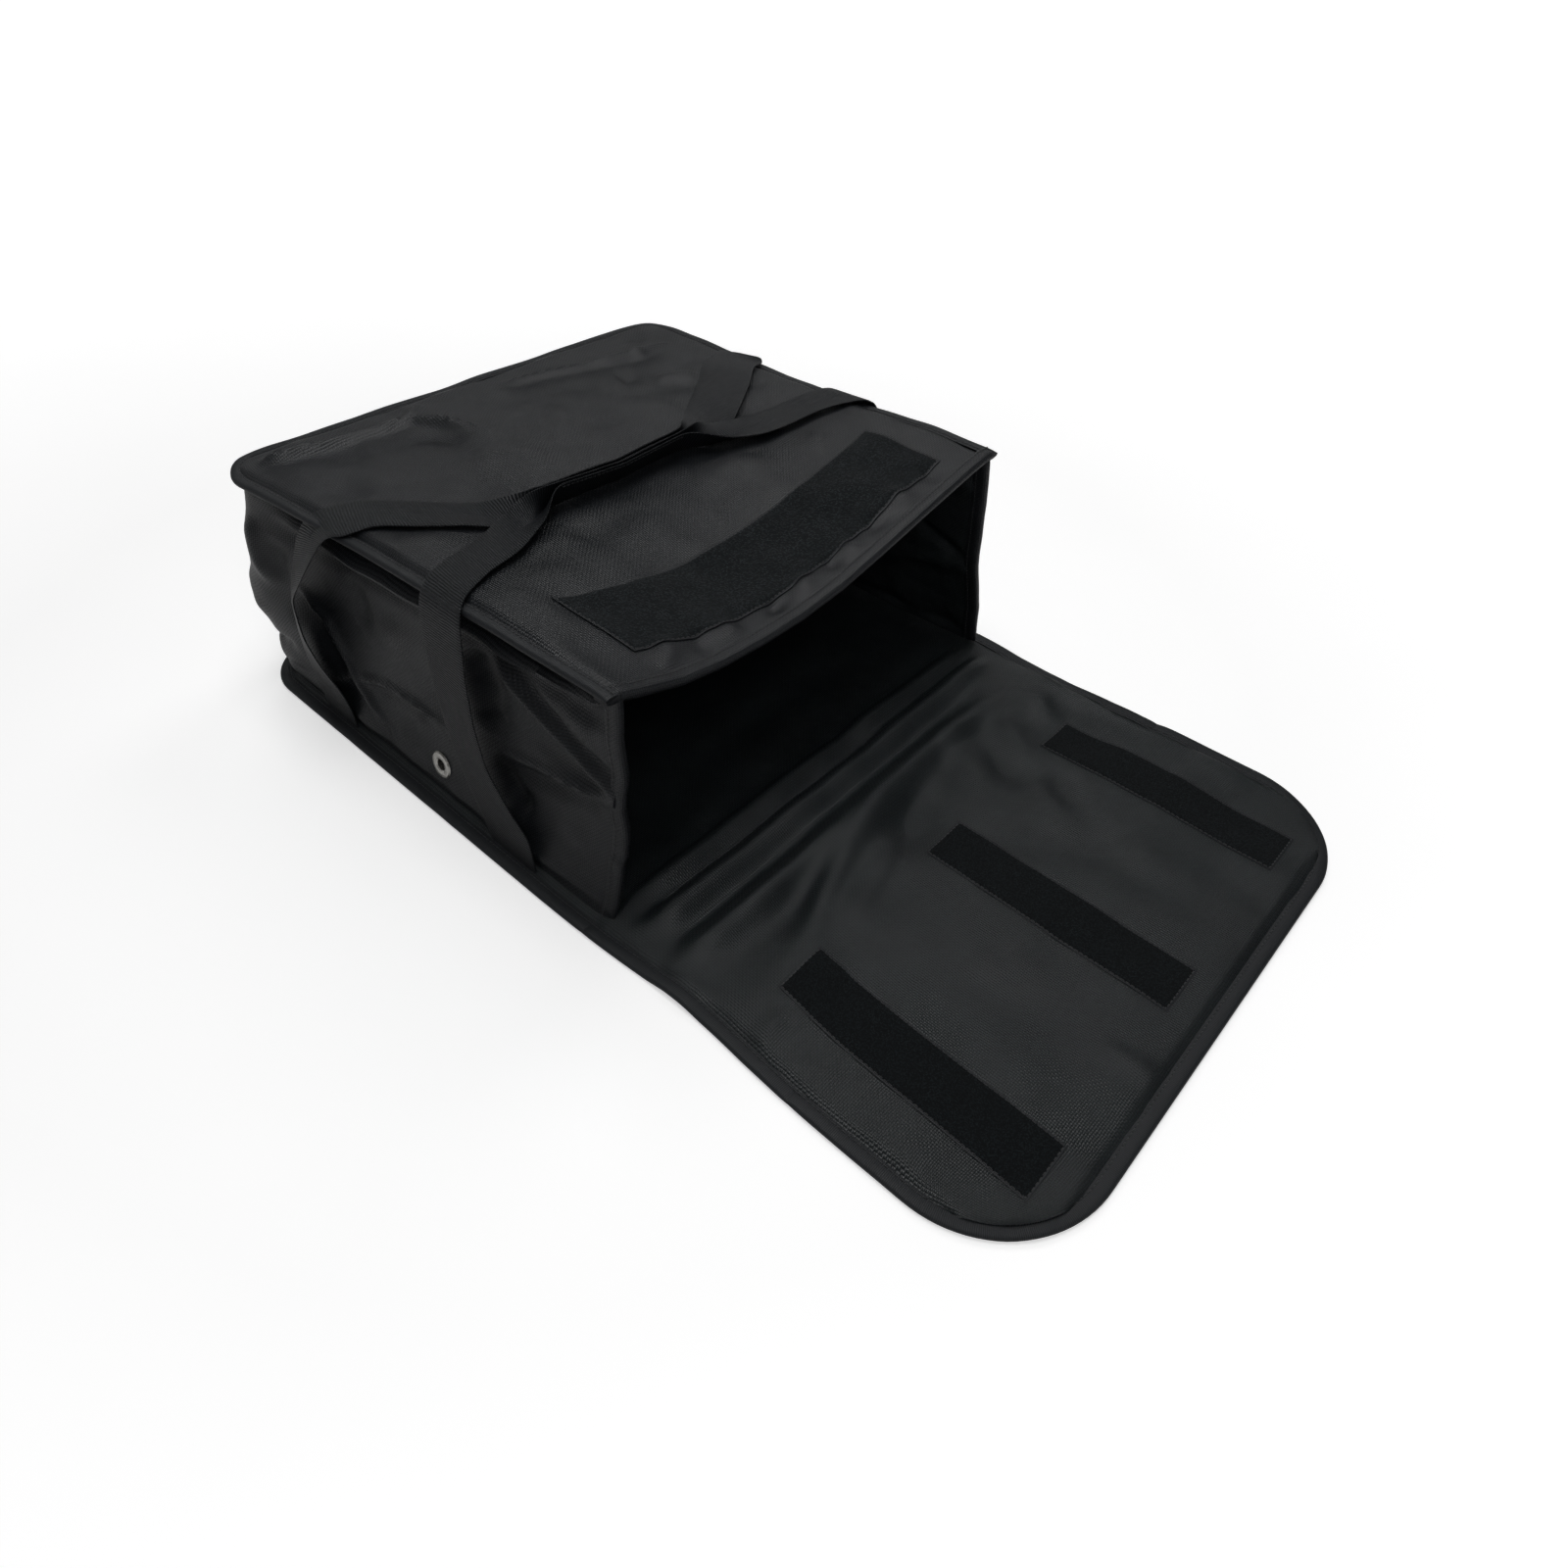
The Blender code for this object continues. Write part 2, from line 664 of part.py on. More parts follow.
def build_bag():
    for old in list(bpy.data.objects):
        bpy.data.objects.remove(old, do_unlink=True)
    collection = bpy.data.collections.new("pizza_delivery_bag")
    cutters = bpy.data.collections.new("cutters")
    for made in (collection, cutters):
        bpy.context.scene.collection.children.link(made)
    kinds = {"cover": finish("cover_fabric", (0.020, 0.021, 0.023), 0.62),
             "foam": finish("padding_foam", (0.72, 0.72, 0.70), 0.90),
             "lining": finish("lining_fabric", (0.016, 0.018, 0.020), 0.55),
             "binding": finish("binding_tape", (0.017, 0.018, 0.020), 0.66),
             "webbing": finish("handle_webbing", (0.014, 0.015, 0.017), 0.58),
             "hook": finish("hook_tape", (0.007, 0.008, 0.010), 0.72),
             "loop": finish("loop_tape", (0.012, 0.014, 0.017), 0.88),
             "metal": finish("eyelet_metal", (0.62, 0.61, 0.58), 0.30, 1.0)}
    build_base(kinds, collection)
    cut = build_walls(kinds, collection)
    build_top(kinds, collection)
    build_loop_strip(kinds, collection)
    for side, name in ((-1, "left"), (1, "right")):
        build_vent(side, name, cut[name], kinds, collection, cutters)
    lower = build_flap_lower(kinds, collection)
    upper = build_flap_upper(kinds, collection)
    front, back = build_handles(kinds, collection)
    hinge = joint_axis("flap_lift_axis", place(0.0, -hinge_lead, panel_thickness), collection)
    crease = joint_axis("flap_fold_axis", place(0.0, crease_depth, panel_thickness), collection, hinge)
    attach(lower, hinge)
    attach(upper, crease)
    for span, depth, name in ((front, front_axis_depth, "front"), (back, back_axis_depth, "back")):
        height = top_level(depth) + sag_seat_gap + strap_thickness / 2
        axis = joint_axis(f"{name}_handle_axis", place(0.0, depth, height), collection)
        attach([span], axis)


build_bag()
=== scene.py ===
"""The looks of the padded pizza delivery bag: sewn, padded panels, tapes, webbing and stitches
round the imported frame.

Metres, +Z up. x runs across the bag, d is a depth behind the mouth line and z a height, as in
the part's own source, so the flap lies at negative d. The tables of folds, of edges and of the
webbing's stations are in millimetres, as their comments say.
"""
import math

import bmesh
import bpy
import numpy as np
from mathutils import Matrix, Vector


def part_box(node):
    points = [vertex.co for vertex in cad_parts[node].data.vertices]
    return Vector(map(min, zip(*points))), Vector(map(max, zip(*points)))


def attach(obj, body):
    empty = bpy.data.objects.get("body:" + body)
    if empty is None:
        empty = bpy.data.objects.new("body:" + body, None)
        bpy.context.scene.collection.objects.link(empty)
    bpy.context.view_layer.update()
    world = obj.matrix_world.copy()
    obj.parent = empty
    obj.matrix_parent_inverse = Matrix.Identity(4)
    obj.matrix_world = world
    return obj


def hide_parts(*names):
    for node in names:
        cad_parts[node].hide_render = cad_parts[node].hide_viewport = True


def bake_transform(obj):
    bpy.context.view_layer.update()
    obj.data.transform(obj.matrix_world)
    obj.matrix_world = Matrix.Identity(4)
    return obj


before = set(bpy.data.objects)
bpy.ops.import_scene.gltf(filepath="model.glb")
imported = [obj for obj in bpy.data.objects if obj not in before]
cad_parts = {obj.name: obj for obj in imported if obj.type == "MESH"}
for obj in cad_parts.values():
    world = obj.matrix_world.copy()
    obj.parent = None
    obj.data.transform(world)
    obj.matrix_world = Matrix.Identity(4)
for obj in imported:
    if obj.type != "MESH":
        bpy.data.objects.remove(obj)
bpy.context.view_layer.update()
mm = 0.001

# Sizes of the part, as its source has them
panel_half = 0.256
body_depth = 0.478
body_height = 0.216
back_drop = 0.014
base_radius = 0.055
top_radius = 0.047
top_front_half = 0.216
top_back_half = 0.237
top_depth = 0.457
wall_top_inset = 0.009
panel_thickness = 0.0074
touch_gap = 0.0003
foot_half = 0.2387
foot_depth = 0.4607
foot_radius = 0.0377
back_bulge = 0.016
bulge_ramp = 0.073
mouth_sag = 0.036
sag_reach = 0.340
sag_margin = 0.004
tape_width = 0.012
tape_thickness = 0.0050
top_tape_width = 0.010
top_tape_thickness = 0.0056
hem_width = 0.012
flap_length = 0.37595
flap_radius = 0.092
hook_pitch = 0.175
hook_width = 0.047
hook_start = -0.129
hook_end = -0.341
loop_length = 0.347
loop_width = 0.076
loop_front = 0.028
strap_width = 0.050
strap_thickness = 0.0016
vent_depth = 0.206
vent_height = 0.033
vent_hole_radius = 0.0070
wall_low = 0.0077

# How the pieces are divided
cell = 0.004
near_cut = 0.012                # where the base panel ends and the flap's first piece begins
far_cut = -0.190                # where the flap's first piece ends and its second begins

# How the panels go into their tapes and hems
tape_lap = 0.004
tape_overlap = 0.001
tape_inset = tape_width - tape_lap
top_inset = top_tape_width - tape_lap
hem_lap = 0.006
hem_extra = 0.0008
hem_thickness = panel_thickness + hem_extra
hem_squeeze = 0.0009
under_squeeze = 0.0008
hem_row = 0.0025
tape_row = 0.0022
folded_cloth = 0.0007
rest_gap = 0.0002               # between two pieces that lie on one another


def to_y(d):
    return d - body_depth / 2


def lerp(low, high, share):
    return low + (high - low) * share


def smooth(share):
    share = np.clip(share, 0.0, 1.0)
    return share * share * (3 - 2 * share)


def bell(place, height, middle, width):
    """A rounded ridge of a height and half width, round a middle place."""
    return height * np.exp(-((place - middle) / width) ** 2)


def steps_over(length, step=cell):
    return max(int(round(abs(length) / step)), 2)


def all_up(count):
    return np.tile([0.0, 0.0, 1.0], (count, 1))


# Folds and unevenness
far_away = 1e9
least_share = 1e-6


def fold_height(u, v, folds):
    """How high a set of folds stands at points u, v of a panel.

    Each fold is a line of points, its height and its half width, all in millimetres, and the
    shares of its length over which it rises at its start and falls at its end.
    """
    total = np.zeros(np.shape(u))
    for line, height, width, rise_share, fall_share in folds:
        nearest = np.full(np.shape(u), far_away)
        station = np.zeros(np.shape(u))
        run = 0.0
        points = np.array(line) * mm
        for (u0, v0), (u1, v1) in zip(points, points[1:]):
            du, dv = u1 - u0, v1 - v0
            length = math.hypot(du, dv)
            share = np.clip(((u - u0) * du + (v - v0) * dv) / length ** 2, 0.0, 1.0)
            distance = np.hypot(u - u0 - share * du, v - v0 - share * dv)
            closer = distance < nearest
            nearest = np.where(closer, distance, nearest)
            station = np.where(closer, run + share * length, station)
            run += length
        along = station / run
        risen = smooth(along / max(rise_share, least_share))
        fallen = smooth((1 - along) / max(fall_share, least_share))
        total += bell(nearest, height * mm, 0.0, width * mm) * risen * fallen
    return total


def uneven(u, v, seed, height, longest, shortest, waves=14):
    """A soft, even unevenness from plane waves of several lengths."""
    rng = np.random.RandomState(seed)
    total = np.zeros(np.shape(u))
    for _ in range(waves):
        length = math.exp(rng.uniform(math.log(shortest), math.log(longest)))
        heading, phase = rng.uniform(0, math.tau, 2)
        across = u * math.cos(heading) + v * math.sin(heading)
        total += np.sin(math.tau / length * across + phase) * (length / longest) ** 0.7
    return total * height / math.sqrt(waves / 2)


# Meshes
def add_mesh(name, points, faces, kinds, face_kinds, uv, sharp_angle=50):
    """A smooth-shaded piece from its points, faces, materials and one UV a point, in metres."""
    mesh = bpy.data.meshes.new(name)
    mesh.from_pydata([tuple(point) for point in points], [], faces)
    for kind in kinds:
        mesh.materials.append(kind)
    mesh.polygons.foreach_set("material_index", face_kinds)
    layer = mesh.uv_layers.new(name="metres")
    corners = np.zeros(len(mesh.loops), np.int32)
    mesh.loops.foreach_get("vertex_index", corners)
    layer.data.foreach_set("uv", np.asarray(uv, np.float32)[corners].ravel())
    mesh.polygons.foreach_set("use_smooth", np.ones(len(mesh.polygons), bool))
    shape = bmesh.new()
    shape.from_mesh(mesh)
    bmesh.ops.recalc_face_normals(shape, faces=shape.faces)
    shape.to_mesh(mesh)
    shape.free()
    mesh.set_sharp_from_angle(angle=math.radians(sharp_angle))
    made = bpy.data.objects.new(name, mesh)
    bpy.context.scene.collection.objects.link(made)
    return made


def pad(name, outer, inner, uv, kinds):
    """A closed panel between two grids of points of the same size, with a material for each."""
    rows, columns = outer.shape[:2]
    index = np.arange(rows * columns).reshape(rows, columns)
    other = index + rows * columns
    faces, face_kinds = [], []
    for kind, grid in enumerate((index, other)):
        quads = np.stack([grid[:-1, :-1], grid[:-1, 1:], grid[1:, 1:], grid[1:, :-1]], -1).reshape(-1, 4)
        if kind:
            quads = quads[:, ::-1]
        faces += quads.tolist()
        face_kinds += [kind] * len(quads)
    rim = [int(one) for one in (*index[0, :], *index[1:, -1], *index[-1, -2::-1], *index[-2:0:-1, 0])]
    for here, following in zip(rim, rim[1:] + rim[:1]):
        faces.append([following, here, here + rows * columns, following + rows * columns])
        face_kinds.append(0)
    points = np.concatenate([outer.reshape(-1, 3), inner.reshape(-1, 3)])
    return add_mesh(name, points, faces, kinds, face_kinds, np.concatenate([uv.reshape(-1, 2)] * 2))


def tube(sections, run, cross, start=0):
    """Points, faces and UVs of a closed loft through loops of the same number of points."""
    count, around = sections.shape[:2]
    index = np.arange(count * around).reshape(count, around) + start
    beside = np.roll(index, -1, axis=1)
    faces = np.stack([index[:-1], beside[:-1], beside[1:], index[1:]], -1).reshape(-1, 4).tolist()
    for cap in (index[0][::-1].tolist(), index[-1].tolist()):
        for out in range(around // 2 - 1):
            faces.append([cap[out], cap[out + 1], cap[-2 - out], cap[-1 - out]])
    uv = np.stack([np.tile(cross, (count, 1)), np.repeat(np.asarray(run)[:, None], around, 1)], -1)
    return sections.reshape(-1, 3), faces, uv.reshape(-1, 2)


def unit(vectors):
    return vectors / np.linalg.norm(vectors, axis=1)[:, None]


def line_frames(path, up):
    """The side directions and the ups of a path."""
    tangent = unit(np.gradient(path, axis=0))
    side = unit(np.cross(up, tangent))
    return side, np.cross(tangent, side)


def arc_lengths(path):
    return np.concatenate([[0.0], np.cumsum(np.linalg.norm(np.diff(path, axis=0), axis=1))])


def at_places(places, run, table):
    """The rows of a table at places along a run, each column drawn straight between its rows."""
    return np.stack([np.interp(places, run, column) for column in table.T], 1)


def resample(path, step):
    """Even points along a line."""
    run = arc_lengths(path)
    return at_places(np.linspace(0.0, run[-1], steps_over(run[-1], step) + 1), run, path)


def soften(path, rounds):
    """A line with its corners eased and its ends kept."""
    for _ in range(rounds):
        path[1:-1] = path[1:-1] * 0.5 + (path[:-2] + path[2:]) * 0.25
    return path


stitch_length = 0.0030
stitch_pitch = 0.0042
stitch_shares = np.array([-0.5, -0.36, 0.0, 0.36, 0.5])
stitch_lift_shares = np.array([-0.6, 0.35, 0.75, 0.35, -0.6])
thread_radius = 0.00038
thread_round = 0.0024           # the way round a thread in its UVs
thread_sides = 6
thread_lift = 0.0001            # how far a row of stitches lies off its cloth


def stitches(path, normal, start):
    """Points, faces and UVs of a row of stitches that lie on a line, with normals up from it."""
    run = arc_lengths(path)
    points, faces, uv = [], [], []
    count = int(run[-1] / stitch_pitch)
    ring = np.arange(thread_sides) * math.tau / thread_sides
    each = len(stitch_shares) * thread_sides
    for number in range(count):
        places = (number + 0.5) * run[-1] / count + stitch_shares * stitch_length
        up = unit(at_places(places, run, normal))
        line = at_places(places, run, path) + up * (stitch_lift_shares * thread_radius)[:, None]
        tangent = line[-1] - line[0]
        side = np.cross(tangent / np.linalg.norm(tangent), up[2])
        around = np.cos(ring)[None, :, None] * side + np.sin(ring)[None, :, None] * up[:, None, :]
        made, made_faces, made_uv = tube(line[:, None, :] + thread_radius * around, places,
                                         ring / math.tau * thread_round, start + number * each)
        points.append(made)
        faces += made_faces
        uv.append(made_uv)
    if not points:
        return np.zeros((0, 3)), [], np.zeros((0, 2))
    return np.concatenate(points), faces, np.concatenate(uv)


def join_parts(name, parts, kinds, sharp_angle=50):
    """One piece from parts, each one a function of its first point's number, and its material."""
    points, faces, face_kinds, uv = [], [], [], []
    total = 0
    for make, kind in parts:
        some_points, some_faces, some_uv = make(total)
        points.append(some_points)
        faces += some_faces
        face_kinds += [kind] * len(some_faces)
        uv.append(some_uv)
        total += len(some_points)
    return add_mesh(name, np.concatenate(points), faces, kinds, face_kinds, np.concatenate(uv), sharp_angle)


bend_share = 0.62               # where a tape's flat side passes into its bend
bend_taper_share = 0.15
shut_share = 0.03               # how far a tape's sewn end stays open
end_shares = ((0, 0.45), (1, 0.85), (-2, 0.85), (-1, 0.45))
open_end_share = 0.5            # the ends that are thinner than this are sewn shut


def wrap(name, edge, inward, up, width, thickness, kinds, row=tape_row, taper_share=0.0):
    """A tape folded round a panel's edge, open inside, with a row of stitches on both faces.

    The edge line is the middle of the fold. inward and up are unit directions at its points.
    The tape thins by the taper share toward its inner edge, and its two ends are sewn shut.
    """
    half = thickness / 2
    inside_half = half - folded_cloth
    turn = np.linspace(math.pi / 2, -math.pi / 2, 7)
    rim, bend = half * (1 - taper_share), half * (1 - bend_taper_share * taper_share)
    sides = [(width, rim), (width * bend_share, bend)]
    outside = sides + [(half - half * math.cos(a), half * math.sin(a)) for a in turn]
    outside += [(reach, -level) for reach, level in sides[::-1]]
    inside = [(reach, folded_cloth - level) for reach, level in sides]
    inside += [(half - inside_half * math.cos(a), inside_half * math.sin(a)) for a in turn[::-1]]
    inside += [(reach, level - folded_cloth) for reach, level in sides[::-1]]
    profile = np.array(outside + inside)
    shut = np.array(outside + [(reach, level * shut_share) for reach, level in inside])
    sections = edge[:, None] + profile[None, :, :1] * inward[:, None] + profile[None, :, 1:] * up[:, None]
    for end, share in end_shares:
        shape = shut if share < open_end_share else profile
        sections[end] = edge[end] + shape[:, :1] * inward[end] + shape[:, 1:] * (share * up[end])
    across = arc_lengths(profile)
    run = arc_lengths(edge)
    parts = [(lambda start: tube(sections, run, across, start), 0)]
    row_taper_share = taper_share * lerp(1.0, bend_taper_share, row / (width * (1 - bend_share)))
    level = half * (1 - row_taper_share) + thread_lift
    for face in (1, -1):
        line = edge + inward * (width - row) + up * (face * level)
        parts.append((lambda start, line=line, face=face: stitches(line, up * face, start), 1))
    return join_parts(name, parts, kinds)


# Materials
class Nodes:
    """Short calls for building a material's node tree."""

    def __init__(self, name):
        self.material = bpy.data.materials.new(name)
        self.material.use_nodes = True
        self.tree = self.material.node_tree
        self.shader = self.tree.nodes["Principled BSDF"]

    def add(self, kind, **settings):
        node = self.tree.nodes.new(kind)
        for key, value in settings.items():
            setattr(node, key, value)
        return node

    def plug(self, value, socket):
        if isinstance(value, bpy.types.NodeSocket):
            self.tree.links.new(value, socket)
        else:
            socket.default_value = value

    def set(self, name, value):
        """Sets or links one of the shader's inputs."""
        self.plug(value, self.shader.inputs[name])

    def math(self, operation, *values):
        node = self.add("ShaderNodeMath", operation=operation)
        for socket, value in zip(node.inputs, values):
            self.plug(value, socket)
        return node.outputs[0]

    def plus(self, one, two):
        return self.math("ADD", one, two)

    def times(self, one, two):
        return self.math("MULTIPLY", one, two)

    def crown(self, steps):
        """A round profile over each whole step of a coordinate: 0 at its ends and 1 in the middle."""
        return self.math("SINE", self.times(self.math("FRACT", steps), math.pi))

    def axes(self):
        """The two UV coordinates, in metres."""
        uv = self.add("ShaderNodeUVMap", uv_map="metres")
        split = self.add("ShaderNodeSeparateXYZ")
        self.plug(uv.outputs[0], split.inputs[0])
        return uv.outputs[0], split.outputs[0], split.outputs[1]

    def noise(self, vector, scale, detail=3.0, roughness=0.55):
        node = self.add("ShaderNodeTexNoise")
        settings = {"Vector": vector, "Scale": scale, "Detail": detail, "Roughness": roughness}
        for key, value in settings.items():
            self.plug(value, node.inputs[key])
        return node.outputs["Fac"]

    def ramp(self, value, low, high, to_low=0.0, to_high=1.0):
        node = self.add("ShaderNodeMapRange")
        for socket, item in zip(node.inputs, (value, low, high, to_low, to_high)):
            self.plug(item, socket)
        return node.outputs[0]

    def mix(self, share, one, two):
        node = self.add("ShaderNodeMix", data_type="RGBA")
        self.plug(share, node.inputs[0])
        for value, socket in ((one, node.inputs[6]), (two, node.inputs[7])):
            self.plug((*value, 1.0) if isinstance(value, tuple) else value, socket)
        return node.outputs[2]

    def bump(self, height, distance, strength=1.0, under=None):
        node = self.add("ShaderNodeBump")
        for key, value in (("Strength", strength), ("Distance", distance), ("Height", height)):
            self.plug(value, node.inputs[key])
        if under is not None:
            self.plug(under, node.inputs["Normal"])
        return node.outputs[0]


slack_depth = 0.0012            # soft hollows between the yarns' stitches
webbing_slack_depth = 0.0005
fibre_depth = 0.00006
twist_depth = 0.00012
scratch_depth = 0.00005
wear_share = 0.25
yarn_over_share = 0.55
yarn_width_share = 0.42         # a webbing's fine yarns against its ribs
thread_twist = 0.0007


def woven(name, colour, painted_shade, light, pitch_u, pitch_v, roughness, depth):
    """A coated plain weave: yarns that pass over and under one another, with painted shade in the hollows
    between them, soft unevenness and wear.
    """
    n = Nodes(name)
    uv, u, v = n.axes()
    drift = n.ramp(n.noise(uv, 35.0), 0.3, 0.7, -0.35, 0.35)
    a = n.plus(n.math("DIVIDE", u, pitch_u), drift)
    b = n.plus(n.math("DIVIDE", v, pitch_v), drift)
    parity = n.math("MODULO", n.math("ABSOLUTE", n.plus(n.math("FLOOR", a), n.math("FLOOR", b))), 2.0)
    crossing = 1 - yarn_over_share
    over = n.times(n.crown(a), n.plus(yarn_over_share, n.times(n.crown(b), crossing)))
    under = n.times(n.crown(b), n.plus(yarn_over_share, n.times(n.crown(a), crossing)))
    lifted = n.plus(n.times(over, parity), n.times(under, n.math("SUBTRACT", 1.0, parity)))
    cloudy = n.ramp(n.noise(uv, 9.0, 4.0), 0.3, 0.7)
    streaks = n.ramp(n.noise(uv, 60.0, 5.0, 0.7), 0.45, 0.75)
    # Painted shade: the colour falls from the cloth's own colour on the yarns' crowns to a dark shade in the
    # hollows between them, so the crowns read as lit.
    yarn = n.mix(n.math("POWER", lifted, 1.4), painted_shade, n.mix(cloudy, colour, light))
    n.set("Base Color", n.mix(n.times(streaks, wear_share), yarn, light))
    n.set("Roughness", n.plus(n.ramp(cloudy, 0.0, 1.0, roughness - 0.05, roughness + 0.06),
                              n.times(n.math("SUBTRACT", 1.0, lifted), 0.12)))
    soft = n.bump(n.noise(uv, 55.0, 4.0), slack_depth, 0.45)
    n.set("Normal", n.bump(n.noise(uv, 2600.0, 2.0), fibre_depth, 0.5, n.bump(lifted, depth, 1.0, soft)))
    n.set("Specular IOR Level", 0.38)
    return n.material


def ribbed(name, colour, painted_shade, light, rib, roughness, depth):
    """A narrow woven tape or webbing, with ribs across its length, fine yarns along it and painted shade
    between the ribs.
    """
    n = Nodes(name)
    uv, u, v = n.axes()
    drift = n.ramp(n.noise(uv, 60.0), 0.3, 0.7, -0.2, 0.2)
    ribs = n.crown(n.plus(n.math("DIVIDE", v, rib), drift))
    yarns = n.crown(n.math("DIVIDE", u, rib * yarn_width_share))
    lifted = n.times(ribs, n.plus(0.86, n.times(yarns, 0.14)))
    cloudy = n.ramp(n.noise(uv, 25.0, 4.0), 0.3, 0.7)
    # Painted shade: the colour darkens into the hollows between the ribs.
    n.set("Base Color", n.mix(n.math("POWER", lifted, 1.2), painted_shade, n.mix(cloudy, colour, light)))
    n.set("Roughness", n.ramp(cloudy, 0.0, 1.0, roughness - 0.06, roughness + 0.06))
    soft = n.bump(n.noise(uv, 140.0, 3.0), webbing_slack_depth, 0.4)
    n.set("Normal", n.bump(lifted, depth, 1.0, soft))
    n.set("Specular IOR Level", 0.28)
    return n.material


def fuzzy(name, colour, painted_shade, light, scale, roughness, depth, sheen):
    """Hook or loop pile: small tufts of uneven height, with painted shade in the low parts between them."""
    n = Nodes(name)
    uv = n.axes()[0]
    cells = n.add("ShaderNodeTexVoronoi", feature="F1")
    n.plug(uv, cells.inputs["Vector"])
    n.plug(scale, cells.inputs["Scale"])
    tufts = n.ramp(cells.outputs["Distance"], 0.0, 0.6, 1.0, 0.0)
    fluff = n.noise(uv, scale * 2.2, 5.0, 0.7)
    patches = n.ramp(n.noise(uv, 45.0, 4.0), 0.35, 0.7)
    height = n.plus(n.times(tufts, 0.6), n.times(fluff, 0.6))
    # Painted shade: the colour darkens where the pile is low, between the tufts.
    n.set("Base Color", n.mix(n.ramp(height, 0.35, 0.95), painted_shade, n.mix(patches, colour, light)))
    n.set("Roughness", n.ramp(height, 0.2, 1.0, roughness + 0.1, roughness - 0.08))
    n.set("Normal", n.bump(height, depth))
    n.set("Sheen Weight", sheen)
    n.set("Sheen Roughness", 0.6)
    n.set("Specular IOR Level", 0.15)
    return n.material


def thread_material():
    n = Nodes("thread")
    uv, u, v = n.axes()
    twist = n.crown(n.plus(n.math("DIVIDE", v, thread_twist), n.math("DIVIDE", u, thread_round)))
    # Painted shade: the colour darkens in the grooves of the twist and is lighter on its crowns.
    n.set("Base Color", n.mix(twist, (0.004, 0.0045, 0.005), (0.017, 0.018, 0.020)))
    n.set("Roughness", n.ramp(twist, 0.0, 1.0, 0.62, 0.46))
    n.set("Normal", n.bump(twist, twist_depth))
    n.set("Sheen Weight", 0.15)
    return n.material


def metal_material():
    """Pressed nickel-plated sheet, with fine scratches, dulled spots and uneven polish."""
    n = Nodes("eyelet_nickel")
    place = n.add("ShaderNodeTexCoord").outputs["Object"]
    dull = n.ramp(n.noise(place, 700.0, 4.0), 0.35, 0.7)
    marks = n.noise(place, 2600.0, 6.0, 0.75)
    n.set("Base Color", n.mix(dull, (0.60, 0.59, 0.56), (0.44, 0.43, 0.40)))
    n.set("Roughness", n.plus(n.ramp(dull, 0.0, 1.0, 0.20, 0.34), n.ramp(marks, 0.3, 0.7, 0.0, 0.08)))
    n.set("Metallic", 1.0)
    n.set("Normal", n.bump(marks, scratch_depth, 0.6))
    return n.material


# The darkest colour given to each cloth below is painted shade for the hollows between its yarns, ribs or
# tufts.
cover = woven("cover_oxford", colour=(0.0110, 0.0129, 0.0156), painted_shade=(0.0020, 0.0023, 0.0029),
              light=(0.0182, 0.0207, 0.0244), pitch_u=0.00180, pitch_v=0.00180, roughness=0.31, depth=0.00027)
lining = woven("lining_oxford", colour=(0.0132, 0.0164, 0.0180), painted_shade=(0.0018, 0.0023, 0.0028),
               light=(0.0205, 0.0265, 0.0285), pitch_u=0.00190, pitch_v=0.00175, roughness=0.29,
               depth=0.00029)
tape_cloth = ribbed("binding_grosgrain", colour=(0.0186, 0.0205, 0.0234), painted_shade=(0.0038, 0.0043, 0.0051),
                    light=(0.0222, 0.0247, 0.0280), rib=0.0013, roughness=0.50, depth=0.00014)
webbing = ribbed("handle_webbing", colour=(0.0107, 0.0125, 0.0150), painted_shade=(0.0011, 0.0013, 0.0016),
                 light=(0.0172, 0.0197, 0.0229), rib=0.0023, roughness=0.42, depth=0.00060)
hook_pile = fuzzy("hook_pile", colour=(0.0060, 0.0094, 0.0112), painted_shade=(0.0012, 0.0021, 0.0027),
                  light=(0.0130, 0.0190, 0.0216), scale=800.0, roughness=0.75, depth=0.0006, sheen=0.02)
loop_pile = fuzzy("loop_pile", colour=(0.0112, 0.0156, 0.0178), painted_shade=(0.0022, 0.0036, 0.0046),
                  light=(0.0270, 0.0350, 0.0385), scale=560.0, roughness=0.80, depth=0.0010, sheen=0.04)
thread = thread_material()
nickel = metal_material()


# Top panel
lip_reach = 0.150
fold_margin = 0.024
fold_strength = 1.15
puff_margin = 0.016
puff_height = 0.0026
puff_drop = 0.0010
plain_lip = 0.009
plain_lip_fade = 0.014
inner_rise_share = 0.4
skew_depth = 0.010
top_squeeze = 0.0036
top_squeeze_reach = 0.007
lip_overlap = 0.004
lip_squeeze_reach = 0.010
top_tape_rise = 0.0018
lip_end_gap = 0.0006
top_taper_share = 0.5
top_rim_counts = (90, 16, 42)
lip_count = 124
top_uneven = dict(seed=5, height=0.0014, longest=0.150, shortest=0.035)
top_lining_uneven = dict(seed=11, height=0.0004, longest=0.060, shortest=0.020)
top_tape_uneven = dict(seed=21, height=0.0006, longest=0.120, shortest=0.030)

# The mouth's lip, as places across the bag and heights, in millimetres
lip_x = [-216, -190, -165, -149, -112, -71, -29, 16, 63, 112, 150, 185, 216]
lip_z = [212.5, 201, 192.5, 187, 180, 176.5, 175.5, 179, 187.5, 197.5, 205, 211.8, 215.8]
# How far the top's edges stand above their plain lines, as depths and rises, in millimetres
right_rise_d = [0, 70, 120, 170, 260, 340, 420]
right_rise = [1.6, 1.6, -1, -4, -4, -2, 0]
left_rise_d = [0, 50, 180, 260, 360, 430]
left_rise = [-3, -1, 0, 2, 2, 0]
